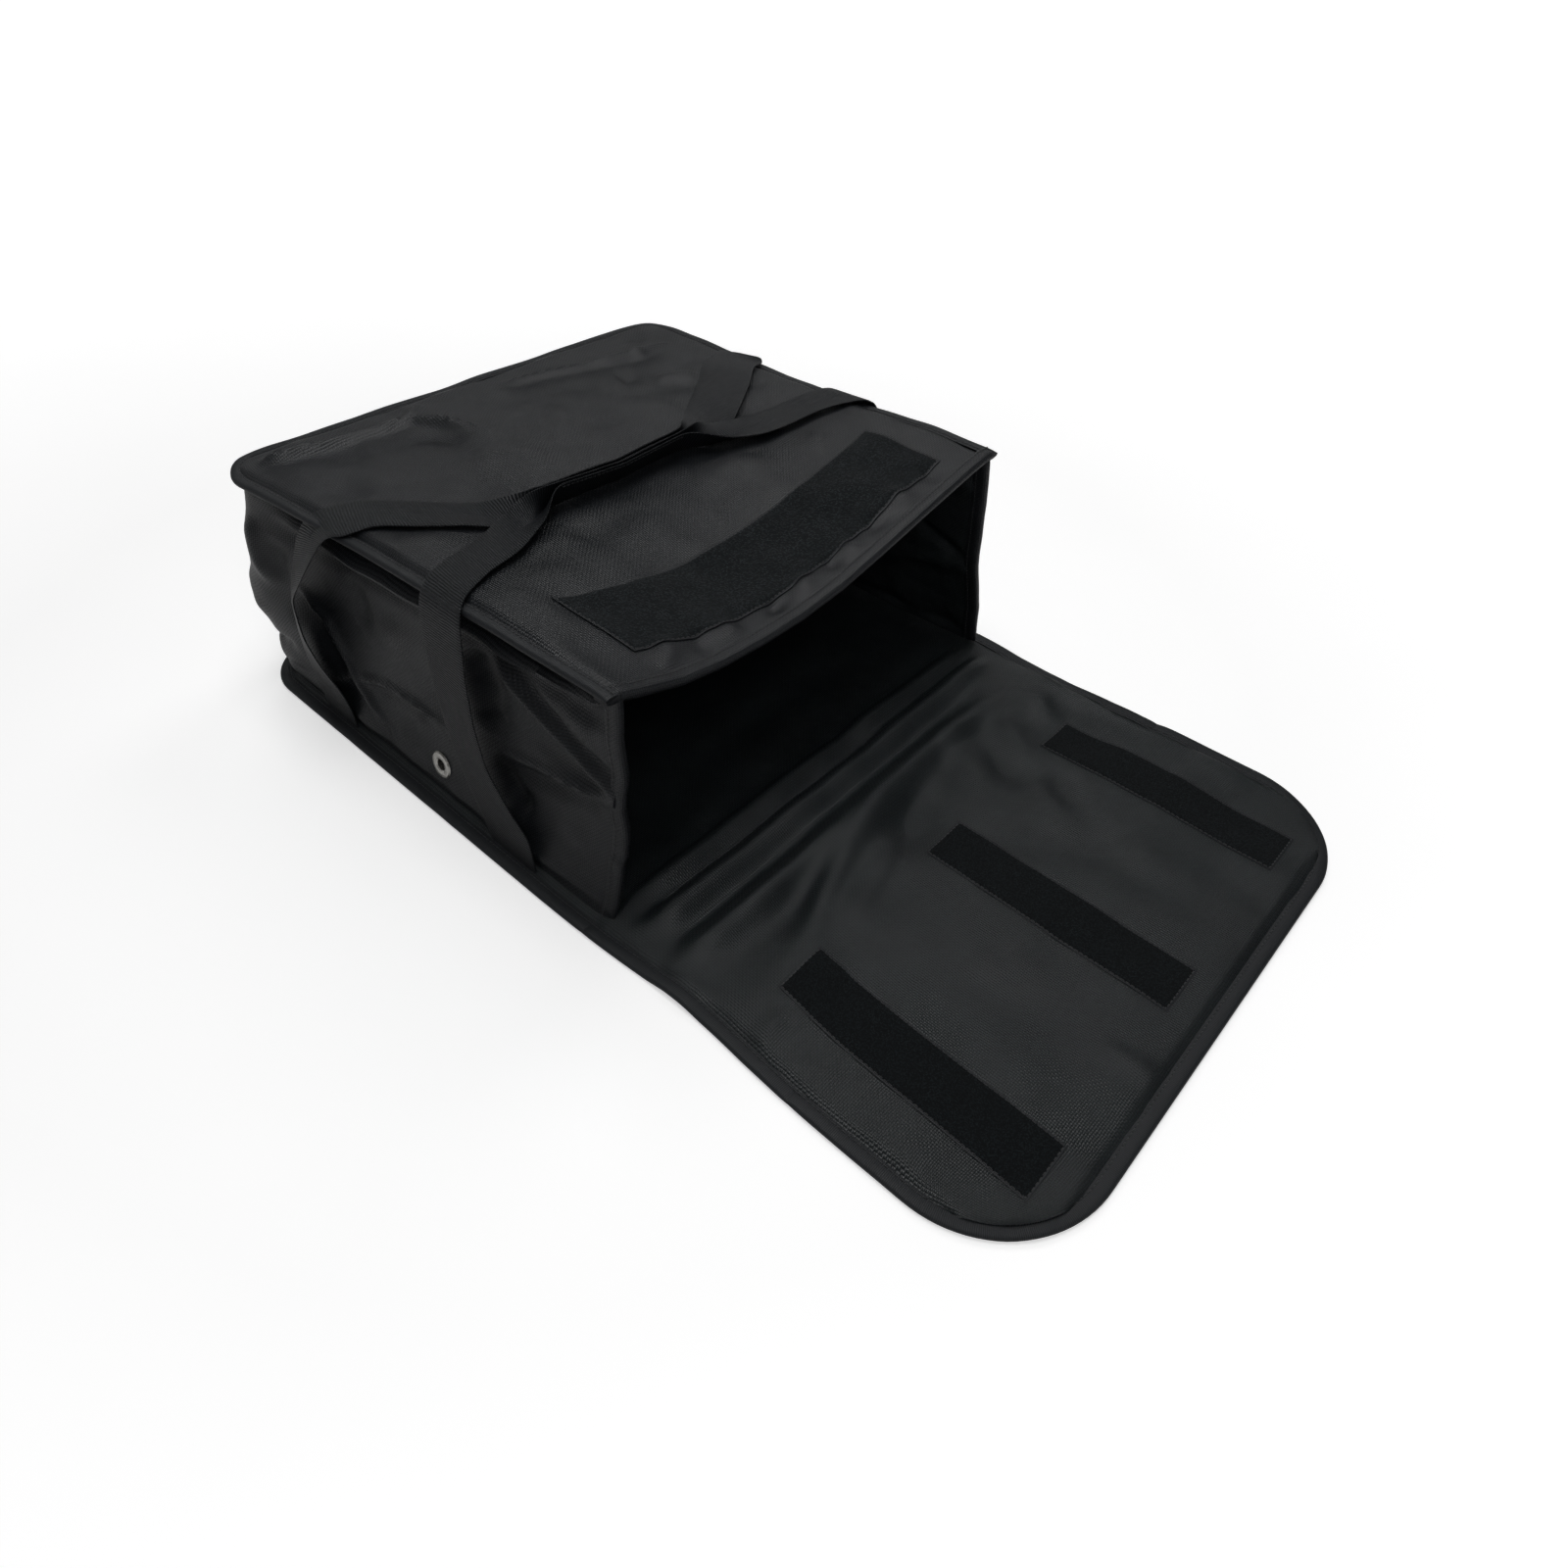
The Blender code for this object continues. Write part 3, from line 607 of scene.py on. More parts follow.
# Folds as places across the bag and depths, in millimetres
top_folds = [
    ([(-212, 428), (-190, 417), (-150, 411), (-105, 409), (-81, 404), (-64, 378), (-52, 350),
      (-42, 330)], 7, 6, 0.1, 0.25),
    ([(-56, 434), (-70, 418), (-82, 404)], 4.8, 6, 0.2, 0.3),
    ([(10, 424), (55, 406), (90, 394), (130, 386), (205, 384)], 5.4, 6.2, 0.2, 0.2),
    ([(150, 388), (160, 372)], 3, 6, 0.3, 0.4),
    ([(-98, 388), (-80, 355), (-66, 330)], -3.4, 12, 0.3, 0.4),
    ([(-180, 385), (-130, 378)], -2.2, 18, 0.3, 0.4),
    ([(-86, 322), (-62, 290), (-30, 258)], 4.6, 20, 0.3, 0.4),
    ([(28, 350), (4, 310), (-20, 280)], 3.4, 12, 0.3, 0.4),
    ([(120, 326), (165, 304)], 5, 10, 0.3, 0.3),
    ([(100, 350), (130, 342)], -4, 14, 0.3, 0.4),
    ([(175, 432), (196, 405)], -3, 12, 0.3, 0.4),
    ([(-195, 352), (-180, 305)], -3, 16, 0.3, 0.4),
    ([(-150, 300), (-60, 205), (60, 205), (150, 260)], -4, 30, 0.3, 0.3),
    ([(-120, 74), (-50, 70), (30, 70), (110, 78)], -6.6, 42, 0.3, 0.3),
    ([(-190, 150), (-176, 60)], 3.2, 16, 0.3, 0.4),
    ([(-152, 12), (-128, 40)], 4, 9, 0.1, 0.4),
    ([(-118, 12), (-104, 34)], -3.4, 8, 0.1, 0.5),
    ([(-86, 12), (-78, 34)], 3.4, 8, 0.1, 0.5),
    ([(-40, 12), (-34, 32)], -3.8, 8, 0.1, 0.5),
    ([(-8, 12), (2, 34)], 4, 8, 0.1, 0.5),
    ([(30, 12), (26, 32)], -3.4, 7, 0.1, 0.5),
    ([(54, 12), (44, 34)], 3.6, 7, 0.1, 0.5),
    ([(84, 12), (76, 40)], -3.4, 8, 0.1, 0.5),
    ([(120, 12), (110, 44)], 3.6, 9, 0.1, 0.5),
    ([(158, 12), (150, 46)], -3, 9, 0.1, 0.5),
    ([(60, 190), (90, 130)], 3.6, 18, 0.4, 0.5),
    ([(-110, 175), (-50, 150)], -3.4, 20, 0.4, 0.5),
    ([(110, 175), (150, 120)], 3, 16, 0.4, 0.3),
]


def table_value(place, places, values):
    """A value in metres from a table in millimetres."""
    return np.interp(place / mm, places, values) * mm


def top_half(d):
    return lerp(top_front_half, top_back_half, np.clip(d / top_depth, 0.0, 1.0))


def top_level(d):
    return body_height - back_drop * np.clip(d / top_depth, 0.0, 1.0)


def edge_rise(x, d):
    """How far the top's edge stands above its plain line."""
    left, right = table_value(d, left_rise_d, left_rise), table_value(d, right_rise_d, right_rise)
    return lerp(left, right, smooth((x / top_half(d) + 1) / 2))


def top_surface(x, d):
    """Height of the top panel's upper face."""
    side, back = top_half(d) - np.abs(x), top_depth - d
    clear_half = top_half(d) - wall_top_inset - panel_thickness - sag_margin
    across = np.minimum(np.abs(x) / clear_half, 1.0)
    along = np.clip(d / sag_reach, 0.0, 1.0)
    front_drop = mouth_sag * (1 - across ** 2) ** 1.3
    lip = table_value(x, lip_x, lip_z) - (body_height - front_drop)
    inside = smooth(side / fold_margin) * smooth(back / fold_margin)
    puff = puff_height * smooth(side / puff_margin) * smooth(back / puff_margin) - puff_drop
    folds = fold_strength * fold_height(x, d, top_folds) + uneven(x, d, **top_uneven)
    folds = folds * smooth((d - plain_lip) / plain_lip_fade)
    plain = top_level(d) - front_drop * (1 - along) ** 1.5 + lip * (1 - smooth(d / lip_reach))
    return plain + edge_rise(x, d) * (1 - inner_rise_share * inside) + folds * inside + puff


def back_skew(x, d):
    """The top lies a little askew: its left back corner further back than its right one."""
    return -skew_depth * x / top_half(d) * smooth(d / top_depth)


def round_corner(x, d, half, depth, radius):
    over_x = (np.abs(x) - half + radius) / radius
    over_d = (d - depth + radius) / radius
    turned = (over_x > 0) & (over_d > 0)
    round_x = half - radius + radius * over_x * np.sqrt(np.clip(1 - over_d ** 2 / 2, 0, 1))
    round_d = depth - radius + radius * over_d * np.sqrt(np.clip(1 - over_x ** 2 / 2, 0, 1))
    return np.where(turned, np.copysign(round_x, x), x), np.where(turned, round_d, d)


def top_place(x, d, lower=0.0):
    return np.stack([x, to_y(d + back_skew(x, d)), top_surface(x, d) - lower], -1)


def grid_lines(half, start, end):
    across = np.linspace(-half, half, steps_over(2 * half) + 1)
    along = np.linspace(start, end, steps_over(end - start) + 1)
    return np.meshgrid(across, along)


rim_step = 0.005
turn_count = 25


def corner_line(half, end, radius, start, counts=None):
    """A line from the left side round two corners to the right side, as x and d."""
    way = math.copysign(1.0, end - start)
    corner = end - way * radius
    even_counts = (steps_over(corner - start, rim_step) + 1, turn_count,
                   steps_over(half - radius, rim_step) + 1)
    side_count, round_count, end_count = counts or even_counts
    line = [(-half, d) for d in np.linspace(start, corner, side_count)]
    line += [(-half + radius - radius * math.cos(a), corner + way * radius * math.sin(a))
             for a in np.linspace(0.0, math.pi / 2, round_count)[1:]]
    line += [(x, end) for x in np.linspace(-half + radius, 0.0, end_count)[1:]]
    return np.array(line + [(-x, d) for x, d in reversed(line[:-1])])


def squeezed(reach, width, overlap, over):
    """0 where a panel is at its full thickness and 1 where its edge goes into a tape or hem."""
    return 1 - smooth((reach - width + overlap) / over)


def build_top_pad():
    x0, d0 = grid_lines(top_front_half - top_inset, hem_width - hem_lap, top_depth - top_inset)
    x, d = round_corner(x0, d0, top_front_half - top_inset, top_depth - top_inset, top_radius - top_inset)
    x = x * top_half(d) / top_front_half
    reach = np.minimum(top_half(d) - np.abs(x), top_depth - d)
    squeeze = squeezed(reach, top_tape_width, tape_overlap, top_squeeze_reach)
    front = hem_squeeze * squeezed(d, hem_width, lip_overlap, lip_squeeze_reach)
    outer = top_place(x, d, top_squeeze * squeeze + front)
    inner = top_place(x, d, panel_thickness - under_squeeze * squeeze - front)
    inner[..., 2] += uneven(x, d, **top_lining_uneven)
    made = pad("top_pad", outer, inner, np.stack([x0, d0], -1), [cover, lining])
    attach(made, "bag")
    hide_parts("top_cover", "top_foam", "top_lining")


def build_top_edges():
    x, d = corner_line(top_front_half, top_depth, top_radius, 0.0, top_rim_counts).T
    edge = top_place(x * top_half(d) / top_front_half, d)
    edge[:, 2] -= panel_thickness / 2 - top_tape_rise
    run = arc_lengths(edge)
    edge[:, 2] += uneven(run, run * 0, **top_tape_uneven)
    edge = soften(edge, 3)
    side, up = line_frames(edge, all_up(len(edge)))
    tape = wrap("top_edge_tape", edge, -side, up, top_tape_width, top_tape_thickness, [tape_cloth, thread],
                taper_share=top_taper_share)
    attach(tape, "bag")
    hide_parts("top_binding")
    x = np.linspace(lip_end_gap - top_front_half, top_front_half - lip_end_gap, lip_count)
    lip = top_place(x, x * 0)
    lip[:, 2] -= panel_thickness / 2
    side, up = line_frames(lip, all_up(len(lip)))
    hem = wrap("mouth_lip_hem", lip, side, up, hem_width, hem_thickness, [cover, thread], hem_row)
    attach(hem, "bag")
    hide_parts("mouth_hem_top")


# Base panel and flap
floor_lift = 0.0006
closing_share = 0.92            # how far the folds are flattened under the mouth of the shut bag
closing_start = -0.150
closing_length = 0.016
reopening_share = 0.6
reopening_start = -0.226
reopening_length = 0.020
shelter_half = 0.205            # beyond this the base lies flat under the walls
shelter_fade = 0.020
shelter_start = 0.004
floor_margin = 0.030
flap_edge_start = -0.010
base_dip = 0.0008
flap_dip = 0.0030
dip_length = 0.010
floor_squeeze = 0.0040
floor_squeeze_reach = 0.0052
under_rise_share = 0.9
tape_rise_share = 0.95
tape_taper_share = 0.45
floor_middle = 0.05
side_tape_count = 60
right_draw = (0.011, -0.105, 0.060)     # the sides' draw, its middle and its half width
left_draw = (0.006, -0.090, 0.070)
floor_uneven = dict(seed=7, height=0.0015, longest=0.170, shortest=0.040)
floor_tape_uneven = dict(seed=31, height=0.0003, longest=0.120, shortest=0.030)
# Folds as places across the bag and depths, in millimetres
floor_folds = [
    ([(-236, 4), (-151, 3), (-62, 4), (71, 4), (236, 2)], 6, 6.8, 0.12, 0.12),
    ([(-240, -26), (-120, -26), (20, -26), (140, -24), (240, -21)], 9.5, 11.5, 0.1, 0.1),
    ([(-248, -64), (-190, -65), (-110, -65), (0, -62), (80, -60), (150, -63),
      (225, -76)], 10.8, 13.5, 0.1, 0.25),
    ([(-190, -138), (-150, -116), (-110, -97), (-60, -82), (0, -74), (80, -70)], 10, 13, 0.35, 0.4),
    ([(-150, -142), (-105, -124), (-50, -110), (20, -98)], 5.5, 12, 0.3, 0.5),
    ([(222, -82), (200, -105), (190, -135)], 5, 14, 0.3, 0.5),
    ([(105, -72), (82, -105), (60, -145)], 4, 15, 0.3, 0.6),
    ([(168, -78), (142, -112), (118, -150)], 4.4, 15, 0.3, 0.5),
    ([(-240, -47), (0, -47), (120, -47), (190, -52)], -4, 9, 0.1, 0.2),
    ([(-236, -12), (0, -12), (236, -10)], -5, 5.5, 0.1, 0.1),
    ([(-190, -94), (-130, -88), (-60, -74)], -3.6, 16, 0.4, 0.5),
    ([(-60, -124), (0, -102), (55, -80)], -4.4, 13, 0.4, 0.5),
    ([(143, -147), (125, -170), (105, -196), (88, -228)], -4.4, 15, 0.3, 0.6),
    ([(138, -82), (112, -118), (90, -160)], -4, 12, 0.4, 0.5),
    ([(45, -150), (70, -215), (110, -280)], -3, 24, 0.3, 0.4),
    ([(110, -235), (75, -290)], 5, 20, 0.4, 0.5),
    ([(-120, -250), (-150, -330)], 3, 20, 0.4, 0.5),
    ([(-83, -312), (-78, -366)], 3.4, 8, 0.4, 0.3),
    ([(-244, -152), (-208, -142)], 3, 7, 0.3, 0.5),
    ([(-245, -198), (-215, -188)], 2.6, 7, 0.3, 0.5),
    ([(-238, -230), (-230, -300)], 3, 14, 0.3, 0.4),
    ([(236, -180), (232, -300)], 3, 14, 0.3, 0.4),
    ([(-150, 40), (20, 50), (180, 44)], 3.7, 20, 0.3, 0.3),
    ([(-100, 90), (60, 105)], 3.1, 20, 0.4, 0.4),
]
flap_rise_folds = [
    ([(246, -40), (244, -85), (246, -130), (250, -190)], 7, 18, 0.4, 0.5),
    ([(-250, -50), (-250, -110)], 3, 15, 0.4, 0.5),
]


def floor_rise(x, d):
    """How far the base and flap panel stands above its flat lie."""
    rise = fold_height(x, d, floor_folds) + uneven(x, d, **floor_uneven) + floor_lift
    closing = closing_share * smooth((closing_start - d) / closing_length)
    closing = closing * (1 - reopening_share * smooth((reopening_start - d) / reopening_length))
    rise = rise * (1 - closing) + np.minimum(rise, 0.0) * closing
    under_walls = 1 - smooth((np.abs(x) - shelter_half) / shelter_fade)
    calm = np.where(d > shelter_start, under_walls, 1.0)
    margin = smooth((panel_half - np.abs(x)) / floor_margin) * smooth((d + flap_length) / floor_margin)
    rise = rise * calm * margin
    rise += fold_height(x, d, flap_rise_folds) * np.where(d > flap_edge_start, 0.0, 1.0)
    return np.maximum(rise, lerp(-base_dip, -flap_dip, smooth(-d / dip_length)))


def draw_in(x, d):
    """How far the flap's sides are drawn in by its folds."""
    reach = np.where(x > 0, bell(d, *right_draw), bell(d, *left_draw))
    return -np.sign(x) * reach * smooth(np.abs(x) / panel_half)


def floor_place(x, d, z):
    return np.stack([x + draw_in(x, d), to_y(d), z], -1)


def floor_pad(name, x0, d0, x, d):
    """A piece of the base and flap panel."""
    rise = floor_rise(x, d)
    reach = np.minimum(panel_half - np.abs(x), np.where(d > 0, body_depth - d, d + flap_length))
    squeeze = squeezed(reach, tape_width, tape_overlap, floor_squeeze_reach)
    upper = floor_place(x, d, panel_thickness - floor_squeeze * squeeze + rise)
    lower = floor_place(x, d, rest_gap + under_squeeze * squeeze + np.maximum(rise, 0.0) * under_rise_share)
    return pad(name, upper, lower, np.stack([x0, d0], -1), [lining, cover])


def floor_tape(name, line):
    """A tape along part of the base and flap panel's edge."""
    x, d = line.T
    rise = np.maximum(floor_rise(x, d), 0.0) * tape_rise_share
    edge = floor_place(x, d, tape_thickness / 2 + rest_gap + rise)
    run = arc_lengths(edge)
    edge[:, 2] += np.abs(uneven(run, run * 0, **floor_tape_uneven))
    side, up = line_frames(edge, all_up(len(edge)))
    middle = np.array([0.0, to_y(floor_middle), 0.0])
    inward = np.where(((middle - edge) * side).sum(1)[:, None] > 0, side, -side)
    return wrap(name, edge, inward, up, tape_width, tape_thickness, [tape_cloth, thread],
                taper_share=tape_taper_share)


def hinge_blend(made):
    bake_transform(made)


def crease_blend(made):
    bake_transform(made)


def build_floor_pads():
    half = panel_half - tape_inset
    x0, d0 = grid_lines(half, near_cut, body_depth - tape_inset)
    x, d = round_corner(x0, d0, half, body_depth - tape_inset, base_radius - tape_inset)
    base = floor_pad("base_pad", x0, d0, x, d)
    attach(base, "bag")
    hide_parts("base_cover", "base_foam", "base_lining")
    x0, d0 = grid_lines(half, far_cut, near_cut)
    near = floor_pad("flap_pad_near", x0, d0, x0, d0)
    hinge_blend(near)
    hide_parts("flap_lower_cover", "flap_lower_foam", "flap_lower_lining")
    x0, d0 = grid_lines(half, -flap_length + tape_inset, far_cut)
    x, d = round_corner(x0, -d0, half, flap_length - tape_inset, flap_radius - tape_inset)
    far = floor_pad("flap_pad_far", x0, d0, x, -d)
    crease_blend(far)
    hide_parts("flap_upper_cover", "flap_upper_foam", "flap_upper_lining")


def build_floor_tapes():
    tape = floor_tape("base_edge_tape", corner_line(panel_half, body_depth, base_radius, near_cut))
    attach(tape, "bag")
    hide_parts("base_binding")
    for side, hand in ((-1, "left"), (1, "right")):
        d = np.linspace(near_cut, far_cut, side_tape_count)
        x = np.full(side_tape_count, side * panel_half)
        tape = floor_tape(f"flap_edge_tape_{hand}", np.stack([x, d], -1))
        hinge_blend(tape)
        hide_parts(f"flap_lower_binding_{hand}")
    tape = floor_tape("flap_edge_tape_far", corner_line(panel_half, -flap_length, flap_radius, far_cut))
    crease_blend(tape)
    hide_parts("flap_upper_binding")


# Hook and loop strips
pile_roughness = 0.00022
strip_under_gap = 0.0001
border_height_share = 0.45
border_flat_share = 0.6
border_rise_share = 0.8
hook_seed = 40
hook_thickness = 0.0013
hook_border = 0.0024
hook_row = 0.0016
hook_row_rise = 0.00059
hook_grid = (34, 148)
loop_seed = 61
loop_lift = 0.0004
loop_thickness = 0.0020
loop_border = 0.0026
loop_row = 0.0018
loop_row_rise = 0.00081
loop_grid = (232, 52)
loop_slant_reach = 0.170
loop_slant_front = 0.014
loop_slant_back = 0.005
# How far the hook strips lie to one side of their plain places, as the strips aren't quite parallel
hook_near_shifts = {-1: -0.0010, 0: 0.0025, 1: 0.0035}
hook_far_shifts = {-1: -0.0095, 0: -0.0040, 1: -0.0040}
# How far the loop strip's two long edges bend, in millimetres
loop_front_x = [-170, -120, 0, 170]
loop_front_bend = [9, 1, -2, 0]
loop_back_x = [-170, -120, 0, 100, 170]
loop_back_bend = [5, -7, -4, 0, 5]


def strip_piece(name, x, d, z, thickness, border, pile, seed, uv):
    """A sewn strip of pile on a panel, with a flat woven border."""
    reach = np.minimum(uv, uv[-1, -1] - uv).min(-1)
    rng = np.random.RandomState(seed)
    rough = rng.uniform(-1.0, 1.0, x.shape) * pile_roughness
    raised = smooth((reach - border * border_flat_share) / (border * border_rise_share))
    upper = z + thickness * lerp(border_height_share, 1.0, raised) + rough * raised
    outer = np.stack([x, to_y(d), upper], -1)
    inner = np.stack([x, to_y(d), z + strip_under_gap], -1)
    made = pad(name, outer, inner, uv, [pile, tape_cloth])
    face_kinds = np.zeros(len(made.data.polygons), np.int32)
    made.data.polygons.foreach_get("material_index", face_kinds)
    face_reach = (reach[:-1, :-1] + reach[1:, 1:]).ravel() / 2
    face_kinds[:len(face_reach)] = np.where(face_reach < border * border_rise_share, 1, 0)
    made.data.polygons.foreach_set("material_index", face_kinds)
    return made


def strip_ring(half, start, end, inset):
    """Even points x and d of the line of stitches round a strip."""
    way = math.copysign(inset, end - start)
    side, first, last = half - inset, start + way, end - way
    corners = [(-side, first), (side, first), (side, last), (-side, last), (-side, first)]
    return resample(np.array(corners), cell).T


def strip_stitches(name, line):
    points, faces, uv = stitches(line, all_up(len(line)), 0)
    return add_mesh(name, points, faces, [thread], [0] * len(faces), uv)


def hook_place(x, d, side):
    """Where a point of a hook strip lies across the bag, and how high the panel is there."""
    shift = lerp(hook_far_shifts[side], hook_near_shifts[side], (d - hook_end) / (hook_start - hook_end))
    x = x + side * hook_pitch + shift
    return x + draw_in(x, d), panel_thickness + floor_rise(x, d) + rest_gap


def build_hook_strips():
    for side, hand in ((-1, "left"), (0, "middle"), (1, "right")):
        across = np.linspace(-hook_width / 2, hook_width / 2, hook_grid[0])
        x0, d = np.meshgrid(across, np.linspace(hook_start, hook_end, hook_grid[1]))
        uv = np.stack([x0 + hook_width / 2, hook_start - d], -1)
        x, z = hook_place(x0, d, side)
        made = strip_piece(f"hook_strip_{hand}", x, d, z, hook_thickness, hook_border, hook_pile,
                           hook_seed + side, uv)
        crease_blend(made)
        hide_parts(f"hook_strip_{hand}_lower", f"hook_strip_{hand}_upper")
        x0, d = strip_ring(hook_width / 2, hook_start, hook_end, hook_row)
        x, z = hook_place(x0, d, side)
        row = strip_stitches(f"hook_strip_{hand}_stitches", np.stack([x, to_y(d), z + hook_row_rise], -1))
        crease_blend(row)


def loop_place(x, d):
    """Where a point of the loop strip lies, as the strip is neither quite straight nor square."""
    share = (d - loop_front) / loop_width
    front = table_value(x, loop_front_x, loop_front_bend)
    back = table_value(x, loop_back_x, loop_back_bend)
    slant = smooth(-x / loop_slant_reach) * lerp(loop_slant_front, loop_slant_back, share)
    return x + slant, d + lerp(front, back, share)


def build_loop_strip():
    across = np.linspace(-loop_length / 2, loop_length / 2, loop_grid[0])
    x0, d = np.meshgrid(across, np.linspace(loop_front, loop_front + loop_width, loop_grid[1]))
    uv = np.stack([x0 + loop_length / 2, d - loop_front], -1)
    x, d = loop_place(x0, d)
    z = top_surface(x, d) + loop_lift
    made = strip_piece("loop_strip_band", x, d + back_skew(x, d), z, loop_thickness, loop_border, loop_pile,
                       loop_seed, uv)
    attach(made, "bag")
    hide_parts("loop_strip")
    x, d = loop_place(*strip_ring(loop_length / 2, loop_front, loop_front + loop_width, loop_row))
    row = strip_stitches("loop_strip_stitches", top_place(x, d, -loop_lift - loop_row_rise))
    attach(row, "bag")


# Walls
wall_top_gap = 0.0006
wall_cell = 0.0024
wall_share_count = 85
wall_uv_height = 0.2
mouth_reach = 0.110
mouth_fold_share = 0.35
mouth_fold_reach = 0.035
foot_end_share = 0.05
top_end_share = 0.035
vent_calm = 0.022
mouth_ramp = 0.02
roll_height = 0.0090            # the roll of cloth below the top's edge
roll_width = 0.0048
roll_front_below = 0.0105
roll_back_below = 0.0150
roll_settle = 0.13
roll_end = 0.345
roll_fade = 0.060
roll_share = 0.75
groove_start = 0.010
groove_fade = 0.060
tuck = (-0.0045, 0.0280, 0.0080)        # height, place below the top or above the foot, half width
groove = (-0.0080, 0.0035, 0.0055)
foot_roll = (0.0030, 0.0170, 0.0080)
wall_hem_overlap = 0.002
wall_squeeze_reach = 0.008
wall_uneven = dict(seed=3, height=0.0012, longest=0.150, shortest=0.035)
roll_uneven = dict(seed=9, height=0.25, longest=0.20, shortest=0.05)
wall_inner_uneven = dict(seed=17, height=0.0011, longest=0.090, shortest=0.020)
corner_count = 19
half_back_count = 52
hem_count = 60
hem_probe = 0.002
wall_slope = 11.3               # degrees at the vents
vent_sides = 48
vent_cut_length = 0.06

# How far the walls stand out at the mouth, as heights and places, in millimetres
mouth_z = [0, 24, 50, 86, 108, 133, 168, 216]
mouth_left = [-1, -4, -4, -3, 1, -1, 2, 0]
mouth_right = [3, 5, 10, 7, 5, 6, 7, 2]
# Folds as lengths round the wall, counted from the left mouth edge, the back's middle and the right mouth
# edge, and heights, in millimetres
left_wall_folds = [
    ([(140, 176), (94, 156), (60, 139), (0, 114)], 5.6, 5, 0.25, 0.02),
    ([(125, 181), (88, 165), (45, 145), (0, 126)], -3.4, 5, 0.3, 0.1),
    ([(145, 82), (125, 92), (95, 98), (40, 106), (0, 112)], 4.4, 4.2, 0.3, 0.02),
    ([(125, 77), (95, 83), (50, 93), (10, 101)], -5.6, 8, 0.3, 0.2),
    ([(156, 170), (142, 140), (136, 100)], -8, 17, 0.2, 0.2),
    ([(110, 124), (60, 118), (12, 113)], -4.2, 9, 0.4, 0.1),
    ([(140, 76), (118, 60), (92, 44)], -8, 13, 0.3, 0.3),
    ([(60, 70), (0, 60)], -6, 30, 0.5, 0),
    ([(60, 172), (20, 162)], 3.6, 16, 0.4, 0.3),
    ([(322, 62), (300, 68), (270, 77), (235, 80), (205, 76), (185, 68)], 4.6, 3.6, 0.2, 0.3),
    ([(310, 54), (270, 67), (235, 70), (200, 66)], -3.6, 7, 0.3, 0.3),
    ([(385, 128), (350, 102), (335, 78), (318, 58), (300, 44), (272, 24), (262, 14)], 5.8, 4.8, 0.15, 0.3),
    ([(392, 112), (365, 88), (350, 62), (345, 40)], -8, 13, 0.2, 0.2),
    ([(260, 150), (235, 100)], 4, 24, 0.4, 0.4),
    ([(300, 170), (292, 110)], -5, 14, 0.3, 0.4),
    ([(50, 30), (20, 90)], 3, 12, 0.4, 0.3),
    ([(128, 50), (80, 25)], 3.6, 15, 0.4, 0.4),
    ([(426, 175), (420, 140), (404, 110)], 4.6, 10, 0.2, 0.4),
    ([(392, 165), (398, 120)], -4, 10, 0.3, 0.4),
    ([(470, 60), (440, 46), (400, 56)], -5.2, 7, 0.3, 0.3),
    ([(470, 45), (430, 32), (395, 42)], 3.6, 8, 0.3, 0.3),
    ([(455, 120), (445, 90), (425, 75)], 4.4, 12, 0.3, 0.3),
]
back_wall_folds = [
    ([(-150, 165), (-90, 120), (-30, 105)], 4.6, 9, 0.3, 0.4),
    ([(-130, 40), (-60, 70)], -4.4, 13, 0.3, 0.4),
    ([(160, 170), (80, 110), (10, 88)], 4.4, 10, 0.3, 0.4),
    ([(140, 50), (70, 60), (0, 50)], -4, 12, 0.3, 0.4),
    ([(-20, 170), (20, 130)], -3.4, 16, 0.4, 0.5),
    ([(200, 90), (150, 85)], 4, 10, 0.4, 0.4),
    ([(-200, 150), (-190, 80)], 3.6, 12, 0.3, 0.4),
]
right_wall_folds = [
    ([(-120, 150), (-60, 124), (0, 104)], 4, 6, 0.3, 0.02),
    ([(-150, 60), (-80, 86), (0, 98)], -3.4, 8, 0.3, 0.1),
    ([(-330, 70), (-270, 88), (-200, 78)], 3.6, 5, 0.3, 0.3),
    ([(-300, 150), (-260, 110)], -4, 13, 0.3, 0.4),
    ([(-240, 160), (-220, 105)], 3.8, 17, 0.3, 0.4),
    ([(-415, 150), (-395, 80)], 4, 11, 0.3, 0.4),
]


def foot_line():
    """Points x, d of the wall's foot with outward normals, from the left mouth edge to the right."""
    corner = foot_depth - foot_radius
    left = [(-foot_half, d, -1.0, 0.0) for d in np.linspace(0.0, corner, steps_over(corner) + 1)]
    left += [(-foot_half + foot_radius - foot_radius * math.cos(a), corner + foot_radius * math.sin(a),
              -math.cos(a), math.sin(a)) for a in np.linspace(0.0, math.pi / 2, corner_count)[1:]]
    half_back = np.linspace(-foot_half + foot_radius, 0.0, half_back_count)[1:]
    left += [(x, foot_depth, 0.0, 1.0) for x in half_back]
    return np.array(left + [(-x, d, -nx, nd) for x, d, nx, nd in reversed(left[:-1])])


def moved(folds, start):
    """Folds whose lengths are counted from a start, in metres, as folds counted from the left mouth edge."""
    return [([(start / mm + run, height) for run, height in line], *rest) for line, *rest in folds]


foot = foot_line()
foot_run = arc_lengths(foot[:, :2])
strip_length = foot_run[-1]
wall_folds = left_wall_folds + moved(back_wall_folds, strip_length / 2)
wall_folds += moved(right_wall_folds, strip_length)


def lean(share):
    return 1 - (1 - share) ** 2


